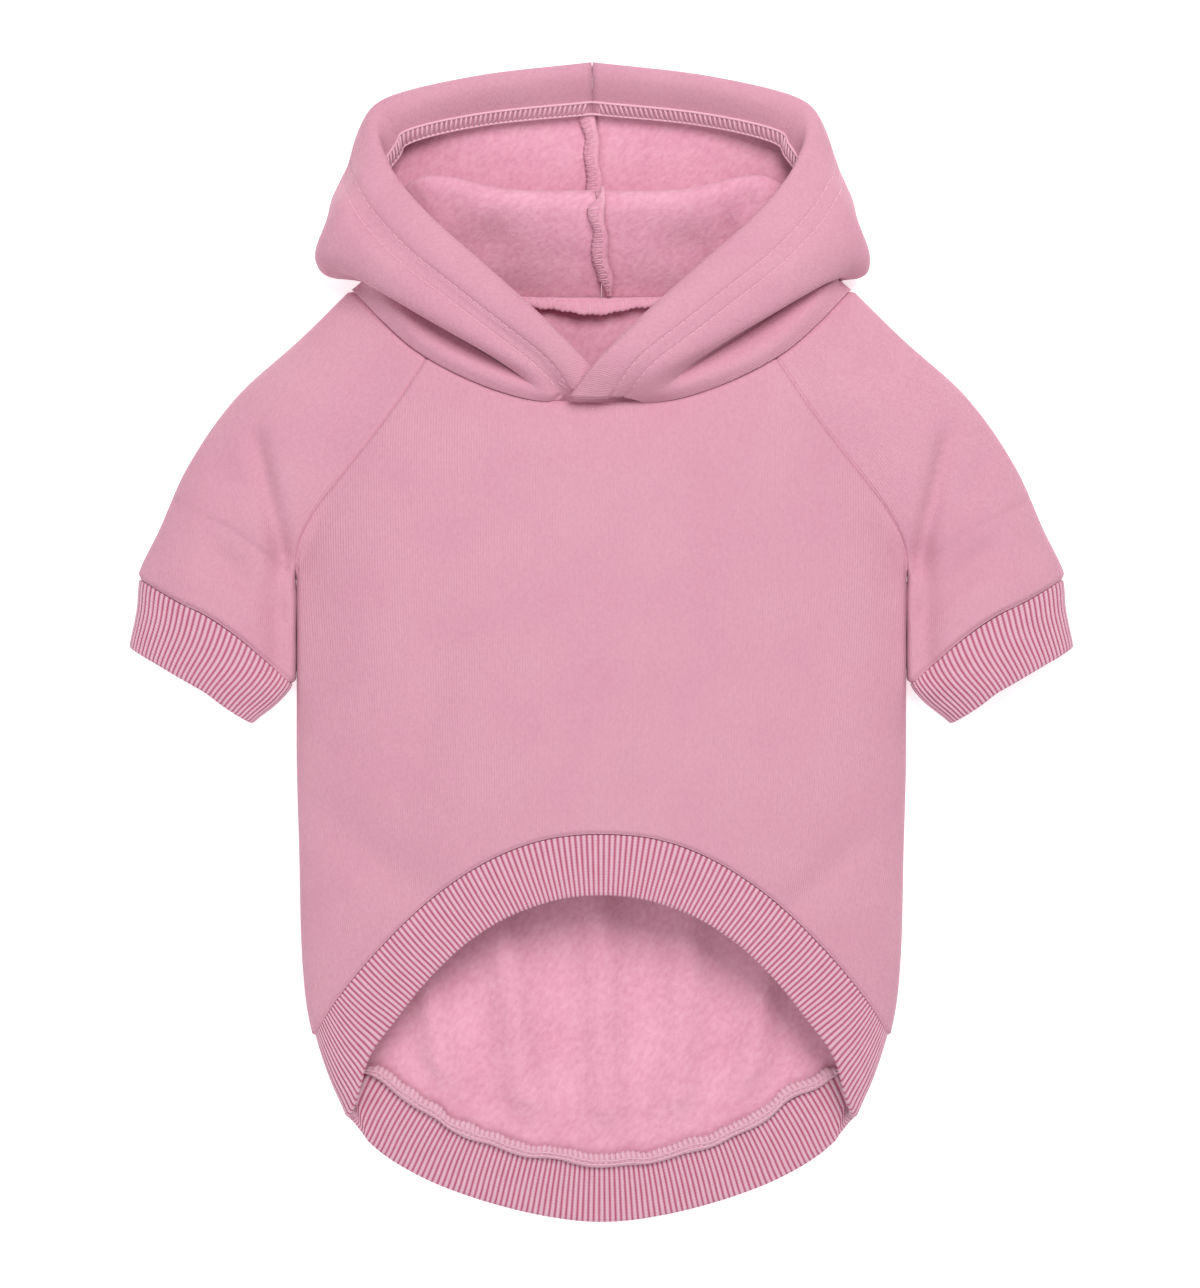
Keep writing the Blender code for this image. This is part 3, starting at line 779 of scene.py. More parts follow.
# The rib bands. A doubled strip of rib knit closes each sleeve end and the hem: its free edge is
# the fold of the strip, its cut edges are overlocked into the seam. The ribs run from the seam to
# the fold. Their colour is painted paler on the crests, a painted highlight over the pale mélange
# of the yarn, and painted deep pink in the grooves as shade.
cuff_edge = [
    (1.547, 0.622),
    (1.398, 0.595),
    (1.296, 0.575),
    (1.204, 0.553),
    (1.128, 0.537),
]
belly_band_edge = [
    (0.846, 0.113),
    (0.820, 0.126),
    (0.764, 0.181),
    (0.675, 0.222),
    (0.550, 0.272),
    (0.426, 0.309),
    (0.288, 0.336),
    (0.130, 0.353),
    (0.000, 0.357),
]
back_hem_edge = [
    (0.846, 0.113),
    (0.800, 0.098),
    (0.720, 0.074),
    (0.600, 0.050),
    (0.480, 0.033),
    (0.280, 0.013),
    (0.100, 0.002),
    (0.000, 0.000),
]
band_thickness = 2.6
band_step = 1.2
band_gap = 0.3
cuff_rib_pitch = 1.95
hem_rib_pitch = 1.8
rib_height = 0.55
columns_per_rib = 8
dense_columns = 900
band_shares = 17
hem_tip_y = body_y(belly_band_edge[0][1])

# Crests are broader than grooves where this power is below 1.
crest_power = 0.7

# Toward the folded edge a band thins down to thinnest_edge, and its ribs to a share of their
# height. Its two faces stay at least these heights over the floor.
thinnest_edge = 0.05
least_ridge = 0.35
outer_floor = 0.02
inner_floor = 0.04


def rib_finish(name, crest, painted_groove_shade):
    """Rib knit with the loops of the knit; its colour runs from a painted shade in the grooves to a paler
    crest colour with painted highlight.
    """
    material, tree, shader = shader_nodes(name)
    height = add_node(tree, "ShaderNodeAttribute", attribute_name="rib").outputs["Fac"]
    weave = add_node(tree, "ShaderNodeUVMap", uv_map="weave").outputs["UV"]
    spot = add_node(tree, "ShaderNodeTexCoord").outputs["Object"]
    spread = worked_out(tree, "SUBTRACT", noise_over(tree, spot, 220.0, 3.0), 0.5)
    # The rib height picks the colour: painted shade in the grooves, painted highlight on the crests.
    share = worked_out(tree, "MULTIPLY_ADD", spread, 0.25, stretched(tree, height, 0.1, 0.8))
    loops = waves_over(tree, weave, 300.0, 1.0, "Y")
    looks = tint_and_bump(tree, share, crest, painted_groove_shade, loops, 0.0002, 0.6)
    feed(tree, shader, {**looks, "Roughness": 0.85, "Specular IOR Level": 0.2, "Sheen Weight": 0.2,
                        "Sheen Tint": (1.0, 0.88, 0.93, 1.0)})
    return material


# Crest colour, paler with painted highlight over the yarn's mélange, and deep groove colour, a painted
# shade.
rib_knit = rib_finish("pink_rib", (0.69, 0.42, 0.515), (0.43, 0.09, 0.17))


# How the far edge of the hem band is walked: places tried on it, share of the straight distance
# in the choice, share of the way round that each corner takes, how fully the ribs stand square,
# and how many places to both sides are averaged.
places_tried = 301
distance_share = 0.2
corner_share = 0.05
square_share = 0.95
averaged_reach = 12


def squared(near, far):
    """The far curve of a band walked so that its points lie square across from the near curve."""
    share = np.linspace(0.0, 1.0, places_tried)
    start, end = near(share), far(share)
    course = unit(np.gradient(start, axis=0))
    offset = end[None] - start[:, None]
    aside = np.abs(np.sum(offset * course[:, None], axis=-1))
    foot = share[np.argmin(aside + distance_share * np.linalg.norm(offset, axis=-1), axis=1)]
    ramp = np.clip(np.minimum(share, 1.0 - share) / corner_share, 0.0, 1.0)
    foot = share + square_share * ramp * (foot - share)
    padded = np.pad(foot, averaged_reach, mode="reflect", reflect_type="odd")
    window = 2 * averaged_reach + 1
    foot = np.maximum.accumulate(np.convolve(padded, np.ones(window) / window, "valid"))
    return lambda at: far(np.interp(at, share, foot))


def ring_plan(near_upper, near_lower, far_upper, far_lower, left, right, band_rows, faces):
    """Closed loop between a seam and a free edge: dense points and normals of the form."""
    top = faces[0](patch(near_upper, far_upper, left, right, dense_columns, band_rows))
    below = faces[1](patch(near_lower, far_lower, left, right, dense_columns, band_rows))
    return [np.concatenate([a, b[:, -2:0:-1]], axis=1) for a, b in zip(top, below)]


def even_columns(points, normal, pitch):
    """The same loop with its columns spaced evenly, a whole number of ribs round it."""
    middle = points[points.shape[0] // 2]
    steps = np.linalg.norm(np.diff(middle, axis=0, append=middle[:1]), axis=-1)
    length = np.concatenate([[0.0], np.cumsum(steps)])
    ribs = int(round(length[-1] / pitch))
    at = np.arange(ribs * columns_per_rib) * length[-1] / (ribs * columns_per_rib)
    closed = [np.concatenate([grid, grid[:, :1]], axis=1) for grid in (points, normal)]
    row = np.clip(np.searchsorted(length, at, side="right") - 1, 0, len(length) - 2)
    t = ((at - length[row]) / (length[row + 1] - length[row]))[None, :, None]
    points, normal = [grid[:, row] * (1.0 - t) + grid[:, row + 1] * t for grid in closed]
    return points, unit(normal), at, ribs


def rib_band(name, points, normal, node, pitch):
    """Ribbed band round a loop; its last rows round over the folded edge."""
    points, normal, at, ribs = even_columns(points, normal, pitch)
    rows = points.shape[0]
    down = edge_distances(points)[0]
    left = down[-1:] - down
    half = 0.5 * band_thickness
    short = np.clip(1.0 - left / half, 0.0, 1.0)
    thickness = np.maximum(half * np.sqrt(np.maximum(1.0 - short ** 2, 0.0)), thinnest_edge)
    phase = 2.0 * math.pi * np.arange(ribs * columns_per_rib) / columns_per_rib
    crest = (0.5 + 0.5 * np.cos(phase)) ** crest_power
    crest = np.repeat(crest[None], rows, axis=0)
    lying = np.minimum(normal[..., 2:], 0.0) * np.array([0.0, 0.0, 1.0])
    middle = points - normal * (band_step + half) + lying * band_step
    ridge = rib_height * (crest - 0.5) * np.clip(thickness / half, least_ridge, 1.0)
    outer = middle + normal * (thickness + ridge)[..., None]
    inner = middle - normal * (thickness + ridge)[..., None]
    outer[..., 2] = np.maximum(outer[..., 2], outer_floor)
    inner[..., 2] = np.maximum(inner[..., 2], inner_floor)
    weave = np.stack([np.repeat(at[None], rows, axis=0), down], axis=-1)
    # The rib note sets the painted highlight on the crests and the painted shade in the grooves.
    band = cloth(name, outer, inner, [rib_knit, rib_knit], weave, ring=True, notes={"rib": crest})
    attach(band, "root")
    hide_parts(node)
    return band, cloth_area(middle)


for side in ("left", "right"):
    faces = (upper_face, lower_face)
    if side == "right":
        faces = [mirror_plan(face) for face in faces]
    near = shifted(seam(cuff_seam), 0.0, -band_gap)
    far = seam(cuff_edge)
    outside = edge_line(outer_edge, cuff_side_y - band_gap, body_y(cuff_edge[0][1]), outline_inset)
    inside = edge_line(inner_edge, cuff_inner_y - band_gap, body_y(cuff_edge[-1][1]), -outline_inset)
    points, normal = ring_plan(near, near, far, far, outside, inside, band_shares, faces)
    if side == "right":
        points, normal = mirrored(points), mirrored(normal)
    band, area = rib_band(side + "_cuff_rib", points, normal, side + "_cuff", cuff_rib_pitch)

left = edge_line(body_side, hem_side_y - band_gap, hem_tip_y, outline_inset)
arch = shifted(across_both(belly_arch), 0.0, -band_gap)
back_seam = shifted(across_both(back_hem_seam), 0.0, -band_gap)
points, normal = ring_plan(arch, back_seam, squared(arch, across_both(belly_band_edge)),
                           squared(back_seam, across_both(back_hem_edge)), left, mirror_line(left),
                           band_shares, (upper_face, lower_face))
band, area = rib_band("hem_rib", points, normal, "hem_band", hem_rib_pitch)

# The hood. Two halves joined at the centre seam, sewn into the neck seam. Its front edge is
# turned in, held by two rows of stitches, and its ends cross at the throat, right over left.
# Empty, it has fallen back: the bands bulge over the shoulders, the back is pushed into a pleat.
hood_half_width = 94.0
hood_rise = 80.3
hood_height = 46.0
hood_offset_x = -3.2
overlap_lift = 6.2
neck_gap = 0.16
centre_gap = 0.16
fold_share = 0.3
thinnest_share = 0.15
rounding_passes = 2
coarse_rows = 34
hood_columns = 150
hood_rows = 220
needle_rows = (13.0, 18.2)
needle_groove = (0.7, 0.4)
wall_passes = 3
normal_passes = 2

# From the neck seam on, the hood takes on its offset and the lift of the right band mark by mark.
offset_per_mark = 0.25
lift_per_mark = 0.28

# Where the stitching pulls the cloth into a shallow valley: distance from the rim, half width
# and depth on each side, -1 the left and 1 the right. It fades out toward the centre seam.
valley_place = 15.8
valley_half_width = 4.6
valley_depth = {-1: 2.6, 1: 0.8}
valley_end = 0.75
valley_fade = 0.2

# From centre front round the side to centre back. A row starts at its place on the neck seam
# (share of the way round the half), then come the places of its fold from the seam to the
# turned-in hem: roll, valley, under_fold, fold, face_1 to face_4, rim, turned and hem_end, each
# as shares across, up and high of the hood's half width, rise and height.
hood_stations = [
    (0.080, (-0.11, -0.43, 0.66), (-0.085, -0.43, 0.68), (-0.06, -0.43, 0.70), (-0.03, -0.43, 0.715),
     (-0.005, -0.43, 0.71), (0.015, -0.43, 0.71), (0.035, -0.43, 0.71), (0.055, -0.43, 0.705),
     (0.075, -0.43, 0.675), (0.055, -0.43, 0.64), (0.00, -0.43, 0.605)),
    (0.130, (-0.23, -0.41, 0.66), (-0.225, -0.38, 0.675), (-0.22, -0.35, 0.72), (-0.21, -0.32, 0.78),
     (-0.17, -0.29, 0.82), (-0.14, -0.275, 0.83), (-0.11, -0.26, 0.83), (-0.07, -0.25, 0.82),
     (-0.03, -0.28, 0.78), (-0.06, -0.285, 0.73), (-0.12, -0.37, 0.685)),
    (0.220, (-0.41, -0.32, 0.67), (-0.37, -0.265, 0.56), (-0.385, -0.24, 0.66), (-0.405, -0.215, 0.79),
     (-0.35, -0.15, 0.87), (-0.315, -0.12, 0.89), (-0.28, -0.095, 0.89), (-0.24, -0.07, 0.875),
     (-0.20, -0.08, 0.83), (-0.235, -0.085, 0.775), (-0.33, -0.155, 0.73)),
    (0.320, (-0.60, -0.205, 0.61), (-0.555, -0.13, 0.47), (-0.57, -0.10, 0.57), (-0.605, -0.095, 0.73),
     (-0.555, -0.015, 0.815), (-0.52, 0.025, 0.84), (-0.485, 0.07, 0.84), (-0.445, 0.11, 0.82),
     (-0.39, 0.125, 0.775), (-0.43, 0.105, 0.72), (-0.54, -0.02, 0.665)),
    (0.420, (-0.74, -0.06, 0.51), (-0.72, 0.00, 0.40), (-0.735, 0.015, 0.49), (-0.77, 0.02, 0.63),
     (-0.74, 0.095, 0.72), (-0.71, 0.15, 0.75), (-0.67, 0.205, 0.75), (-0.63, 0.26, 0.735),
     (-0.57, 0.32, 0.68), (-0.615, 0.275, 0.615), (-0.71, 0.11, 0.555)),
    (0.510, (-0.85, 0.07, 0.30), (-0.87, 0.095, 0.33), (-0.90, 0.105, 0.38), (-0.92, 0.125, 0.44),
     (-0.915, 0.16, 0.53), (-0.89, 0.22, 0.60), (-0.85, 0.29, 0.63), (-0.79, 0.37, 0.62),
     (-0.69, 0.495, 0.56), (-0.755, 0.41, 0.49), (-0.83, 0.275, 0.43)),
    (0.580, (-0.83, 0.07, 0.065), (-0.88, 0.10, 0.08), (-0.94, 0.11, 0.12), (-0.985, 0.135, 0.205),
     (-1.00, 0.195, 0.315), (-0.975, 0.27, 0.41), (-0.935, 0.365, 0.49), (-0.875, 0.475, 0.52),
     (-0.75, 0.62, 0.465), (-0.79, 0.53, 0.39), (-0.82, 0.43, 0.32)),
    (0.650, (-0.69, 0.09, 0.12), (-0.70, 0.20, 0.20), (-0.715, 0.31, 0.24), (-0.76, 0.385, 0.23),
     (-0.815, 0.335, 0.15), (-0.875, 0.31, 0.095), (-0.93, 0.40, 0.05), (-0.905, 0.52, 0.175),
     (-0.815, 0.765, 0.38), (-0.745, 0.71, 0.31), (-0.72, 0.60, 0.19)),
    (0.740, (-0.535, 0.125, 0.175), (-0.57, 0.295, 0.305), (-0.595, 0.46, 0.385), (-0.61, 0.52, 0.33),
     (-0.63, 0.405, 0.205), (-0.675, 0.26, 0.125), (-0.72, 0.32, 0.024), (-0.79, 0.685, 0.05),
     (-0.74, 0.86, 0.295), (-0.69, 0.81, 0.36), (-0.655, 0.68, 0.19)),
    (0.870, (-0.275, 0.14, 0.175), (-0.295, 0.315, 0.305), (-0.31, 0.415, 0.37), (-0.31, 0.46, 0.305),
     (-0.325, 0.36, 0.205), (-0.345, 0.215, 0.125), (-0.38, 0.27, 0.022), (-0.45, 0.75, 0.03),
     (-0.41, 0.945, 0.285), (-0.40, 0.90, 0.365), (-0.385, 0.755, 0.145)),
    (1.000, (0.00, 0.14, 0.175), (0.00, 0.315, 0.305), (0.00, 0.41, 0.37), (0.00, 0.455, 0.305),
     (0.00, 0.36, 0.205), (0.00, 0.205, 0.125), (0.00, 0.26, 0.022), (0.00, 0.79, 0.03),
     (0.00, 1.00, 0.285), (0.00, 0.955, 0.365), (0.00, 0.80, 0.145)),
]
# How far the right band is lifted where it crosses the left one, as a share at each station.
crossing = (0.3, 1.0, 0.5, 0.1, 0.0, 0.0, 0.0, 0.0, 0.0, 0.0, 0.0)
rim_mark = 9
last_mark = 11.0
front_turn = 0.54
rim_row = int(round(rim_mark / last_mark * (hood_rows - 1)))


def neck_row(shares):
    """Middle of the wall and outward normal round the left half of the neck seam."""
    front_plan = plan_rows(chest_neck)[::-1] + plan_rows(neck_front)[-2::-1]
    back_plan = plan_rows(neck_back) + plan_rows(nape)[1:]
    upper, upper_normal = upper_face(along(front_plan, np.clip(shares / front_turn, 0.0, 1.0)))
    behind = np.clip((shares - front_turn) / (1.0 - front_turn), 0.0, 1.0)
    lower, lower_normal = lower_face(along(back_plan, behind))
    in_front = (shares < front_turn)[:, None]
    points = np.where(in_front, upper, lower)
    normal = np.where(in_front, upper_normal, lower_normal)
    middle = points - normal * 0.5 * cloth_thickness
    middle[:, 1] += neck_gap
    return middle, normal


def grid_normals(grid):
    """Unit normals of a grid of points from its own rows and columns."""
    down = np.gradient(grid, axis=0)
    across = np.gradient(grid, axis=1)
    return unit(np.cross(across, down))


def hollow_bend(grid, normal):
    """Bend of each column of a grid; above zero where it is hollow on the side of the normal."""
    bend = np.zeros(grid.shape[:2])
    ahead = grid[2:] - grid[1:-1]
    behind = grid[:-2] - grid[1:-1]
    length = 0.5 * (np.linalg.norm(ahead, axis=-1) + np.linalg.norm(behind, axis=-1))
    bend[1:-1] = np.sum((ahead + behind) * normal[1:-1], axis=-1) / length ** 2
    return bend


def half_wall(bend):
    """Half the cloth, less where a fold is tighter than the cloth is thick."""
    near = np.maximum(bend, np.maximum(np.roll(bend, 1, axis=0), np.roll(bend, -1, axis=0)))
    limit = fold_share / np.maximum(near, 1e-6)
    return np.clip(limit, 0.5 * cloth_thickness * thinnest_share, 0.5 * cloth_thickness)


def smoothed(values, passes):
    """Values of a grid evened out along its rows and columns; the border stays."""
    values = values.copy()
    for _ in range(passes):
        values[1:-1] = 0.25 * values[:-2] + 0.5 * values[1:-1] + 0.25 * values[2:]
        values[:, 1:-1] = 0.25 * values[:, :-2] + 0.5 * values[:, 1:-1] + 0.25 * values[:, 2:]
    return values


# Dents of the near layer of the hood's back: place across and up from the nape, size across and
# up, depth. That layer ends at a mark of the profile, more or less sharply.
hood_dents = [
    (-38.0, 20.0, 9.0, 8.0, 2.0),
    (29.0, 18.0, 9.0, 7.0, 1.6),
    (50.0, 33.0, 3.0, 6.0, 1.6),
    (44.0, 23.0, 3.2, 7.0, 1.6),
    (-52.0, 33.0, 4.0, 7.0, 1.2),
    (-12.0, 14.0, 12.0, 6.0, 0.9),
]
near_layer_end = 4.4
layer_sharpness = 6.0


def hood_middle(side):
    """Middle surface of one half of the hood with its normals; side is -1 for left, 1 for right."""
    steps = np.arange(len(hood_stations))
    at = np.linspace(0.0, steps[-1], hood_columns)
    shares = ease(steps, [row[0] for row in hood_stations], at)
    neck, neck_normal = neck_row(shares)
    if side > 0:
        neck, neck_normal = mirrored(neck), mirrored(neck_normal)
    size = np.array([hood_half_width, hood_rise, hood_height])
    places = np.array([row[1:] for row in hood_stations]) * size
    places = ease(steps, places.reshape(len(steps), -1), at).reshape(hood_columns, -1, 3)
    leaning = np.clip(offset_per_mark * np.arange(places.shape[1]), 0.0, 1.0)
    places[..., 0] = hood_offset_x * leaning - side * places[..., 0]
    places[..., 1] += body_y(1.0)
    if side > 0:
        lift = overlap_lift * ease(steps, crossing, at)
        growing = np.clip(lift_per_mark * np.arange(1, places.shape[1] + 1), 0.0, 1.0)
        places[..., 2] += lift[:, None] * growing
    profile = np.concatenate([neck[:, None], places], axis=1)
    profile[..., 0] += side * 0.5 * centre_gap
    marks = np.arange(profile.shape[1])
    coarse = np.linspace(0.0, marks[-1], coarse_rows)
    grid = ease(marks, profile.transpose(1, 0, 2).reshape(len(marks), -1), coarse)
    grid = grid.reshape(coarse_rows, hood_columns, 3)
    for _ in range(rounding_passes):
        grid[1:-1] = 0.25 * grid[:-2] + 0.5 * grid[1:-1] + 0.25 * grid[2:]
    fine = np.linspace(0.0, marks[-1], hood_rows)
    grid = ease(coarse, grid.reshape(coarse_rows, -1), fine).reshape(hood_rows, hood_columns, 3)
    near_layer = 1.0 / (1.0 + np.exp((fine[:, None] - near_layer_end) * layer_sharpness))
    above_nape = grid[..., 1] > body_y(1.0)
    for place_x, place_y, size_x, size_y, depth in hood_dents:
        dx = (grid[..., 0] - place_x) / size_x
        dy = (grid[..., 1] - body_y(1.0) - place_y) / size_y
        grid[..., 2] -= depth * near_layer * above_nape * np.exp(-dx * dx - dy * dy)
    normal = side * grid_normals(grid)
    normal[0] = neck_normal
    return grid, unit(smoothed(normal, normal_passes))


hood_jersey = jersey_finish("pink_hood_jersey", (0.63, 0.315, 0.405), (0.57, 0.265, 0.355), 0.0002)

hood_parts = {}
for name, side in (("hood_left", -1), ("hood_right", 1)):
    middle, normal = hood_middle(side)
    bend = hollow_bend(middle, normal)
    over = smoothed(half_wall(bend), wall_passes)
    under = smoothed(half_wall(-bend), wall_passes)
    outer = middle + normal * over[..., None]
    inner = middle - normal * under[..., None]
    down, across = edge_distances(middle)[::2]
    fading = np.clip((valley_end - np.linspace(0.0, 1.0, hood_columns)) / valley_fade, 0.0, 1.0)
    sunk = groove(down - down[rim_row] + valley_place, valley_half_width, valley_depth[side]) * fading
    outer -= normal * sunk[..., None]
    inner -= normal * sunk[..., None]
    for distance in needle_rows:
        outer -= normal * groove(down - down[rim_row] + distance, *needle_groove)[..., None]
    weave = np.stack([across, down], axis=-1)
    hood_parts[side] = (normal, outer, down, inner)
    hood = cloth(name + "_cloth", outer, inner, [hood_jersey, brushed], weave)
    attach(hood, "root")
    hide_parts(name)

# The stitching of the hood. Two needle rows hold the turned-in front edge; inside, the same seam
# shows as a strip of looped thread along the edge of the facing. All of it is polyester thread a
# little paler than the cloth.
needle_pitch = 3.1
needle_length = 2.3
needle_start = 6.0
needle_end = 3.0
strip_width = 5.2
strip_pitch = 1.7
strip_start = 4.0
strip_inset = 0.15
strip_thickness = 2.7
thread_radius = 0.17

# Places along a stitch as shares of its length; at both ends it dips into the cloth.
stitch_shares = np.array([0.0, 0.2, 0.8, 1.0])
needle_heights = (-1.0, 0.7, 0.7, -1.0)

# One loop of the strip: line across it, place along the pitch, height in thread radii. The
# slanted stroke lies on top and the way back runs through the cloth.
loop_strokes = [
    (0, 0.00, 0.8),
    (1, 0.45, 2.6),
    (2, 0.90, 0.8),
    (2, 1.05, -2.0),
    (0, 0.95, -2.0),
]


def thread_finish(name, colour):
    """Plain spun thread."""
    material, tree, shader = shader_nodes(name)
    feed(tree, shader, {"Base Color": (*colour, 1.0), "Roughness": 0.7, "Specular IOR Level": 0.3,
                        "Sheen Weight": 0.3})
    return material


pale_thread = thread_finish("pink_thread", (0.74, 0.42, 0.52))


def thread(name, courses, radius, finish):
    """Thread along each course of points in millimetres, all in one piece."""
    curve = bpy.data.curves.new(name, "CURVE")
    curve.dimensions = "3D"
    curve.bevel_depth = radius * metres
    curve.bevel_resolution = 1
    curve.use_fill_caps = True
    for course in courses:
        spline = curve.splines.new("POLY")
        spline.points.add(len(course) - 1)
        knots = np.concatenate([np.asarray(course) * metres, np.ones((len(course), 1))], axis=1)
        spline.points.foreach_set("co", knots.ravel())
    laid = placed(name + "_course", curve)
    graph = bpy.context.evaluated_depsgraph_get()
    mesh = bpy.data.meshes.new_from_object(laid.evaluated_get(graph))
    bpy.data.objects.remove(laid, do_unlink=True)
    mesh.materials.clear()
    mesh.materials.append(finish)
    mesh.polygons.foreach_set("use_smooth", np.ones(len(mesh.polygons), bool))
    item = placed(name, mesh)
    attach(item, "root")


def grid_line(grid, normal, rows):
    """Points and normals of a grid at one fractional row in each column."""
    columns = np.arange(grid.shape[1])
    low = np.clip(np.floor(rows).astype(int), 0, grid.shape[0] - 2)
    t = (rows - low)[:, None]
    points = grid[low, columns] * (1.0 - t) + grid[low + 1, columns] * t
    return points, unit(normal[low, columns] * (1.0 - t) + normal[low + 1, columns] * t)


def rows_at(down, distance):
    """Fractional row in each column at a distance from its first row."""
    marks = np.arange(down.shape[0])
    return np.array([np.interp(distance[c], down[:, c], marks) for c in range(down.shape[1])])


def read_line(places, length, values):
    """Points or normals at places, from the length along the line at each of its values."""
    return np.stack([np.interp(places, length, values[:, k]) for k in range(3)], axis=-1)


def line_length(points):
    """Length of a line of points."""
    return float(np.linalg.norm(np.diff(points, axis=0), axis=1).sum())


def stitches(points, up, starts, stitch_length, heights):
    """Course of each stitch along a line; heights over the cloth are in thread radii."""
    length = distances_along(points)
    rise = thread_radius * np.array(heights)[:, None]
    courses = []
    for start in starts:
        places = start + stitch_length * stitch_shares
        courses.append(read_line(places, length, points) + read_line(places, length, up) * rise)
    return courses


for name, side in (("left", -1), ("right", 1)):
    normal, outer, down = hood_parts[side][:3]
    courses = []
    for distance in needle_rows:
        points, up = grid_line(outer, normal, rows_at(down, down[rim_row] - distance))
        starts = np.arange(needle_start, line_length(points) - needle_end, needle_pitch)
        courses += stitches(points, up, starts, needle_length, needle_heights)
    thread("hood_needle_rows_" + name, courses, thread_radius, pale_thread)

    lines = []
    for distance in (strip_inset, strip_width * 0.5, strip_width):
        lines.append(grid_line(outer, normal, rows_at(down, down[-1] - distance)))
    lengths = [distances_along(points) for points, up in lines]
    shortest = min(line_length(points) for points, up in lines)
    shares = [line_length(points) / shortest for points, up in lines]
    course = []
    for start in np.arange(strip_start, shortest - 2.0 * strip_pitch, strip_pitch):
        for row, ahead, height in loop_strokes:
            place = (start + ahead * strip_pitch) * shares[row]
            spot, up = [read_line(place, lengths[row], values) for values in lines[row]]
            course.append(spot + up * height * thread_radius)
    chains = [points + up * thread_radius for points, up in lines[::2]]
    thread("hood_overlock_" + name, [course] + chains, strip_thickness * thread_radius, pale_thread)

# The seam allowances that show inside. The cut edges are joined with an overlock: a flat ribbon
# of two cloth edges bound with looped thread. One runs up the centre of the hood over the pleat,
# one stands up behind the neck seam, one lies along the top of the back hem band.
allowance_thickness = 1.2
loop_pitch = 1.9
loop_bulge = 0.5
ribbon_rows = 9
ribbon_step = 0.5
ribbon_ends = 6.0
narrowest_end = 0.12
edge_wave = (9.0, 0.9)
crown_rows = (3, 6)
plain_frill = 0.14

# One loop round the edge: which line it touches and the place along the pitch. The lines are the
# low and the high row of the crown and the free edge.
edge_strokes = [(2, 0.0), (1, 0.25), (0, 0.55), (0, 0.95), (1, 0.85)]


def even_line(points, step):
    """Line of points spaced evenly along a coarser one."""
    places = np.arange(0.0, line_length(points), step)
    return read_line(places, distances_along(points), points)


def ribbon(name, base, lean, rise, width, lift, finish, frill):
    """Overlocked allowance along a line: it leans one way, and its free edge carries loops.

    lift holds how high it stands at its foot, at its free edge and how much it arches between.
    """
    length = distances_along(base)
    phase = 2.0 * math.pi * length / loop_pitch
    taper = np.clip(np.minimum(length, length[-1] - length) / ribbon_ends, narrowest_end, 1.0)
    loops = loop_bulge * np.abs(np.cos(math.pi * length / loop_pitch))
    share = np.linspace(0.0, 1.0, ribbon_rows)[:, None]
    reach = (width * taper)[None] * share + loops[None] * share ** 4
    height = lift[0] + (lift[1] - lift[0]) * share + lift[2] * np.sin(math.pi * share)
    wave = np.array([noise.noise(Vector((place / edge_wave[0], 0.0, width[0]))) for place in length])
    height = height + edge_wave[1] * wave[None] * share ** 2
    middle = base[None] + lean[None] * reach[..., None] + rise[None] * height[..., None]
    normal = grid_normals(middle)
    normal *= np.sign(np.sum(normal * rise[None], axis=-1, keepdims=True))
    half = 0.5 * allowance_thickness * np.sqrt(np.clip(1.0 - (2.0 * share - 1.0) ** 8, 0.02, 1.0))
    half = half * (1.0 + frill * np.cos(phase)[None] * share)
    outer = middle + normal * half[..., None]
    inner = middle - normal * half[..., None]
    # On the hem allowance, whose finish is the rib knit, this share paints shade between the loops,
    # deepest at the free edge; the brushed finish does not read it.
    crest = 1.0 - 0.8 * (1.0 - (0.5 + 0.5 * np.cos(phase))[None]) * share
    piece = cloth(name, outer, inner, [finish, finish], np.zeros((*crest.shape, 2)), notes={"rib": crest})
    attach(piece, "root")
    lines = [outer[row] + normal[row] * thread_radius for row in crown_rows]
    lines.append(outer[-1] + normal[-1] * 0.1)
    course = []
    for start in np.arange(1.0, length[-1] - 2.0 * loop_pitch, loop_pitch):
        for line, ahead in edge_strokes:
            course.append(read_line(start + ahead * loop_pitch, length, lines[line]))
    thread(name + "_loops", [course], thread_radius, pale_thread)
    return outer, normal, length


def wavy(length, mean, swing, pitch, seed):
    """Width of an allowance that wanders about its mean."""
    drift = np.array([noise.noise(Vector((place / pitch, seed, 0.0))) for place in length])
    return mean + swing * drift


# Marks on the hood's profile between which the centre allowance shows, and its mean width. It
# starts to the right of the seam and leans to the left across it. A wander is how far a line or
# a width swings to both sides, and over what length.
centre_runs = {"far": (7.25, 8.75, 4.6), "near": (0.25, 3.6, 5.0)}
centre_start = 3.0
centre_samples = 60
centre_wander = (2.6, 11.0)
centre_width_wander = (1.2, 7.0)
centre_lift = (1.9, 0.9, 0.7)
normal, inner = hood_parts[-1][::3]
for title, (start, end, mean) in centre_runs.items():
    rows = np.linspace(start, end, centre_samples) / last_mark * (hood_rows - 1)
    marks = np.arange(hood_rows)
    line = read_line(rows, marks, inner[:, -1])
    facing = -read_line(rows, marks, normal[:, -1])
    base = even_line(line, ribbon_step)
    places = distances_along(base)
    rise = unit(read_line(places, distances_along(line), facing))
    lean = np.repeat([[-1.0, 0.0, 0.0]], len(base), axis=0)
    lean = unit(lean - rise * np.sum(lean * rise, axis=-1, keepdims=True))
    base = base - lean * centre_start
    base[:, 0] += wavy(places, 0.0, *centre_wander, mean)
    width = wavy(places, mean, *centre_width_wander, 3.0 + mean)
    ribbon("hood_centre_allowance_" + title, base, lean, rise, width, centre_lift,
           brushed, plain_frill)

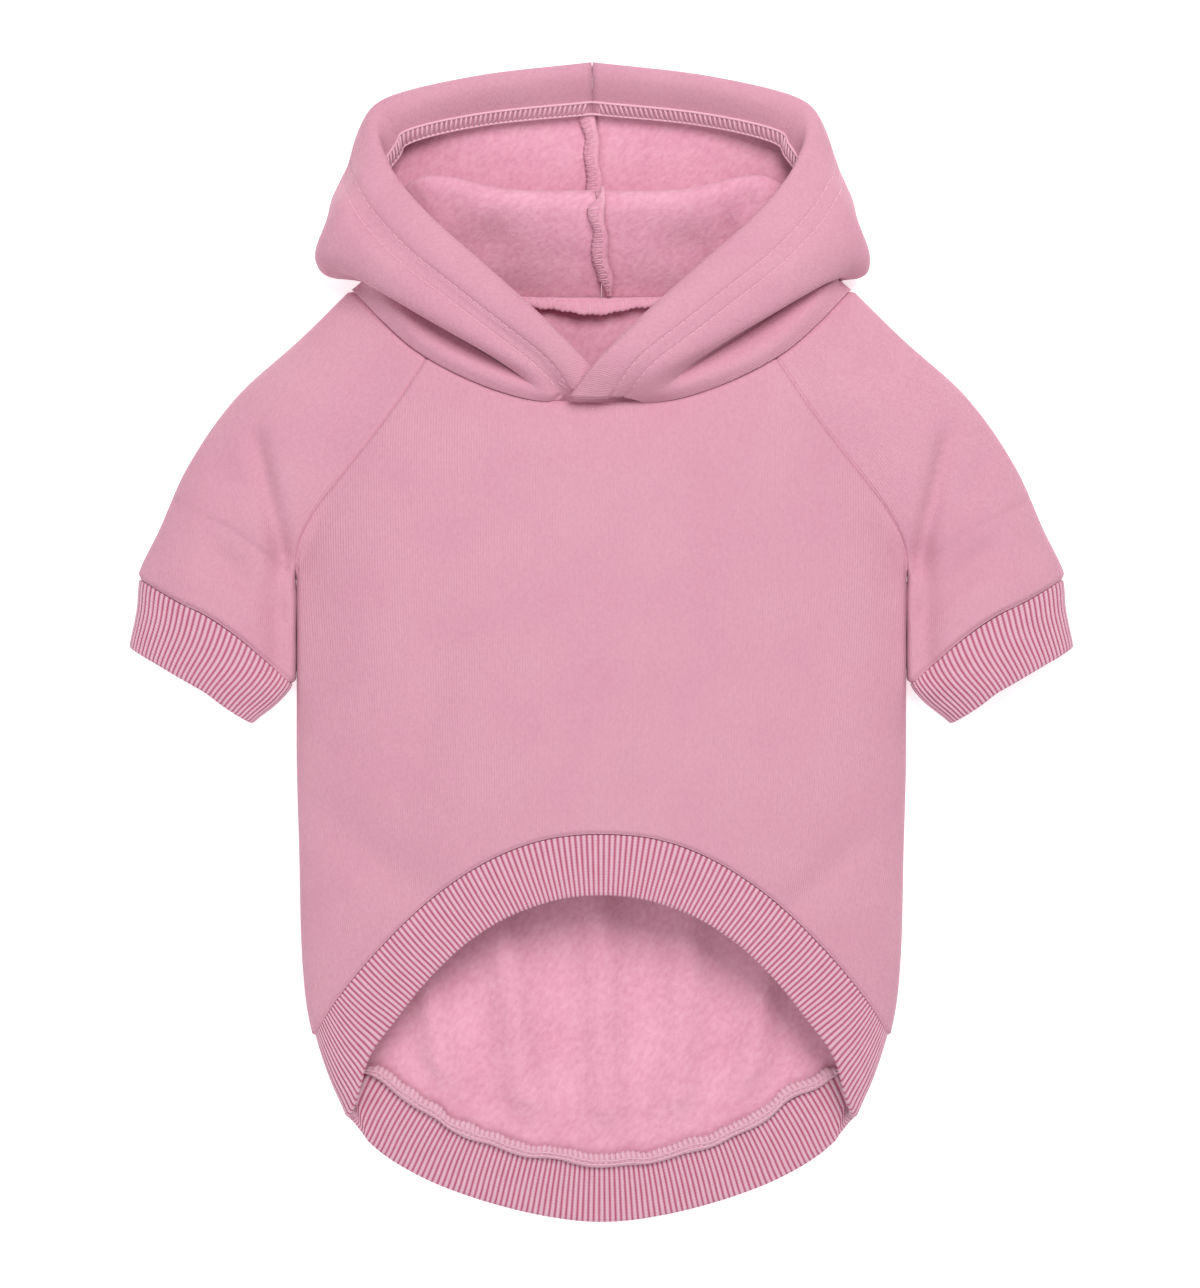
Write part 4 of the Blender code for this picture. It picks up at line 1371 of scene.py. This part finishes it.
# The neck allowance: half its length, its place and height, its width at the ends, and where and
# by how much it is wider in a soft tongue near the middle.
nape_reach = 44.0
nape_behind = 0.6
nape_height = 3.4
nape_width = 3.0
nape_tongue = 4.4
nape_peak = -3.0
nape_tongue_size = 14.0
nape_wander = (1.6, 6.0)
nape_lean = (0.0, -0.80, 0.60)
nape_rise = (0.0, 0.60, 0.80)
nape_lift = (0.0, 0.0, 0.5)
across = np.arange(-nape_reach, nape_reach, ribbon_step)
behind = np.full_like(across, body_y(1.0) + nape_behind)
base = np.stack([across, behind, np.full_like(across, nape_height)], axis=-1)
lean = np.repeat(unit(np.array([nape_lean])), len(across), axis=0)
rise = np.repeat(unit(np.array([nape_rise])), len(across), axis=0)
tongue = nape_tongue * np.exp(-((across - nape_peak) / nape_tongue_size) ** 2)
width = nape_width + tongue + wavy(across, 0.0, *nape_wander, 9.0)
ribbon("neck_allowance", base, lean, rise, width, nape_lift, brushed, plain_frill)

# The hem allowance: its half length as a share of the body's half width, its height and how far
# below the seam, toward the hem's edge, it starts. Two rows of chain stitches run along it.
hem_reach = 0.80
hem_height = 3.5
hem_start = 1.6
hem_wander = (2.2, 17.0)
hem_width = 4.3
hem_width_wander = (1.6, 8.0)
hem_lift = (0.2, 0.1, 0.5)
hem_frill = 0.4
seam_samples = 400
chain_rows = {"low": 2, "high": 4}
chain_pitch = 2.3
chain_length = 1.9
chain_start = 3.0
chain_end = 4.0
chain_thickness = 1.9
chain_heights = (-1.2, 0.5, 0.5, -1.2)
back_seam = across_both(back_hem_seam)(np.linspace(0.0, 1.0, seam_samples))
back_seam = back_seam[np.abs(back_seam[:, 0]) < hem_reach * body_half_width]
line = np.concatenate([back_seam, np.full((len(back_seam), 1), hem_height)], axis=1)
base = even_line(line, ribbon_step)
places = distances_along(base)
course = np.gradient(base, axis=0)
lean = unit(np.stack([-course[:, 1], course[:, 0], np.zeros(len(base))], axis=-1))
rise = np.repeat([[0.0, 0.0, 1.0]], len(base), axis=0)
base = base - lean * hem_start + lean * wavy(places, 0.0, *hem_wander, 5.0)[:, None]
width = wavy(places, hem_width, *hem_width_wander, 6.0)
# The rib knit finish paints shade between the loops of this allowance.
outer, normal, length = ribbon("hem_allowance", base, lean, rise, width, hem_lift,
                               rib_knit, hem_frill)
for title, row in chain_rows.items():
    line = outer[row] + normal[row] * thread_radius
    starts = np.arange(chain_start, length[-1] - chain_end, chain_pitch)
    courses = stitches(line, rise, starts, chain_length, chain_heights)
    thread("hem_chain_" + title, courses, chain_thickness * thread_radius, pale_thread)

# The floor, the light and the camera. A white floor that glows faintly, a big soft lamp high on
# the right beyond the hood, weaker ones on the left and below the hem, a long lens overhead.
# Lengths are in metres here, the width of the camera's sensor in millimetres.
floor_size = 8.0
floor_drop = 0.0003
photo_width = 0.414
view_distance = 2.4
lens_width = 36.0
view_centre = Vector((-0.0005, -0.0002, 0.0))

work = bmesh.new()
bmesh.ops.create_grid(work, x_segments=1, y_segments=1, size=0.5 * floor_size)
for vert in work.verts:
    vert.co.z = -floor_drop
mesh = bpy.data.meshes.new("floor")
work.to_mesh(mesh)
work.free()
floor = placed("floor", mesh)
material, tree, shader = shader_nodes("floor_white")
white = (1.0, 1.0, 1.0, 1.0)
feed(tree, shader, {"Base Color": (0.95, 0.95, 0.95, 1.0), "Roughness": 0.9, "Specular IOR Level": 0.1,
                    "Emission Color": white, "Emission Strength": 0.5})
mesh.materials.append(material)

# Soft square lamps, aimed at the middle: name, place, edge length, power in watts, colour.
lamps = [
    ("key", (0.30, 0.80, 1.35), 0.8, 20.5, (1.0, 0.985, 0.97)),
    ("fill", (-0.7, -0.2, 1.4), 1.2, 4.5, (0.97, 0.98, 1.0)),
    ("low", (-0.2, -1.1, 0.9), 1.0, 6.0, (1.0, 0.98, 0.98)),
]
for name, place, size, power, colour in lamps:
    data = bpy.data.lights.new(name, "AREA")
    data.shape = "SQUARE"
    data.size = size
    data.energy = power
    data.color = colour
    lamp = placed(name, data)
    lamp.location = place
    lamp.rotation_euler = (-Vector(place)).to_track_quat("-Z", "Y").to_euler()

world = bpy.data.worlds.new("studio")
world.use_nodes = True
feed(world.node_tree, world.node_tree.nodes["Background"], {"Color": white, "Strength": 0.32})
bpy.context.scene.world = world

lens = bpy.data.cameras.new("overhead")
lens.sensor_fit = "HORIZONTAL"
lens.sensor_width = lens_width
lens.lens = lens_width * view_distance / photo_width
lens.clip_end = 10.0
camera = placed("overhead", lens)
camera.location = view_centre + Vector((0.0, 0.0, view_distance))
bpy.context.scene.camera = camera
bpy.context.scene.view_settings.view_transform = "Standard"
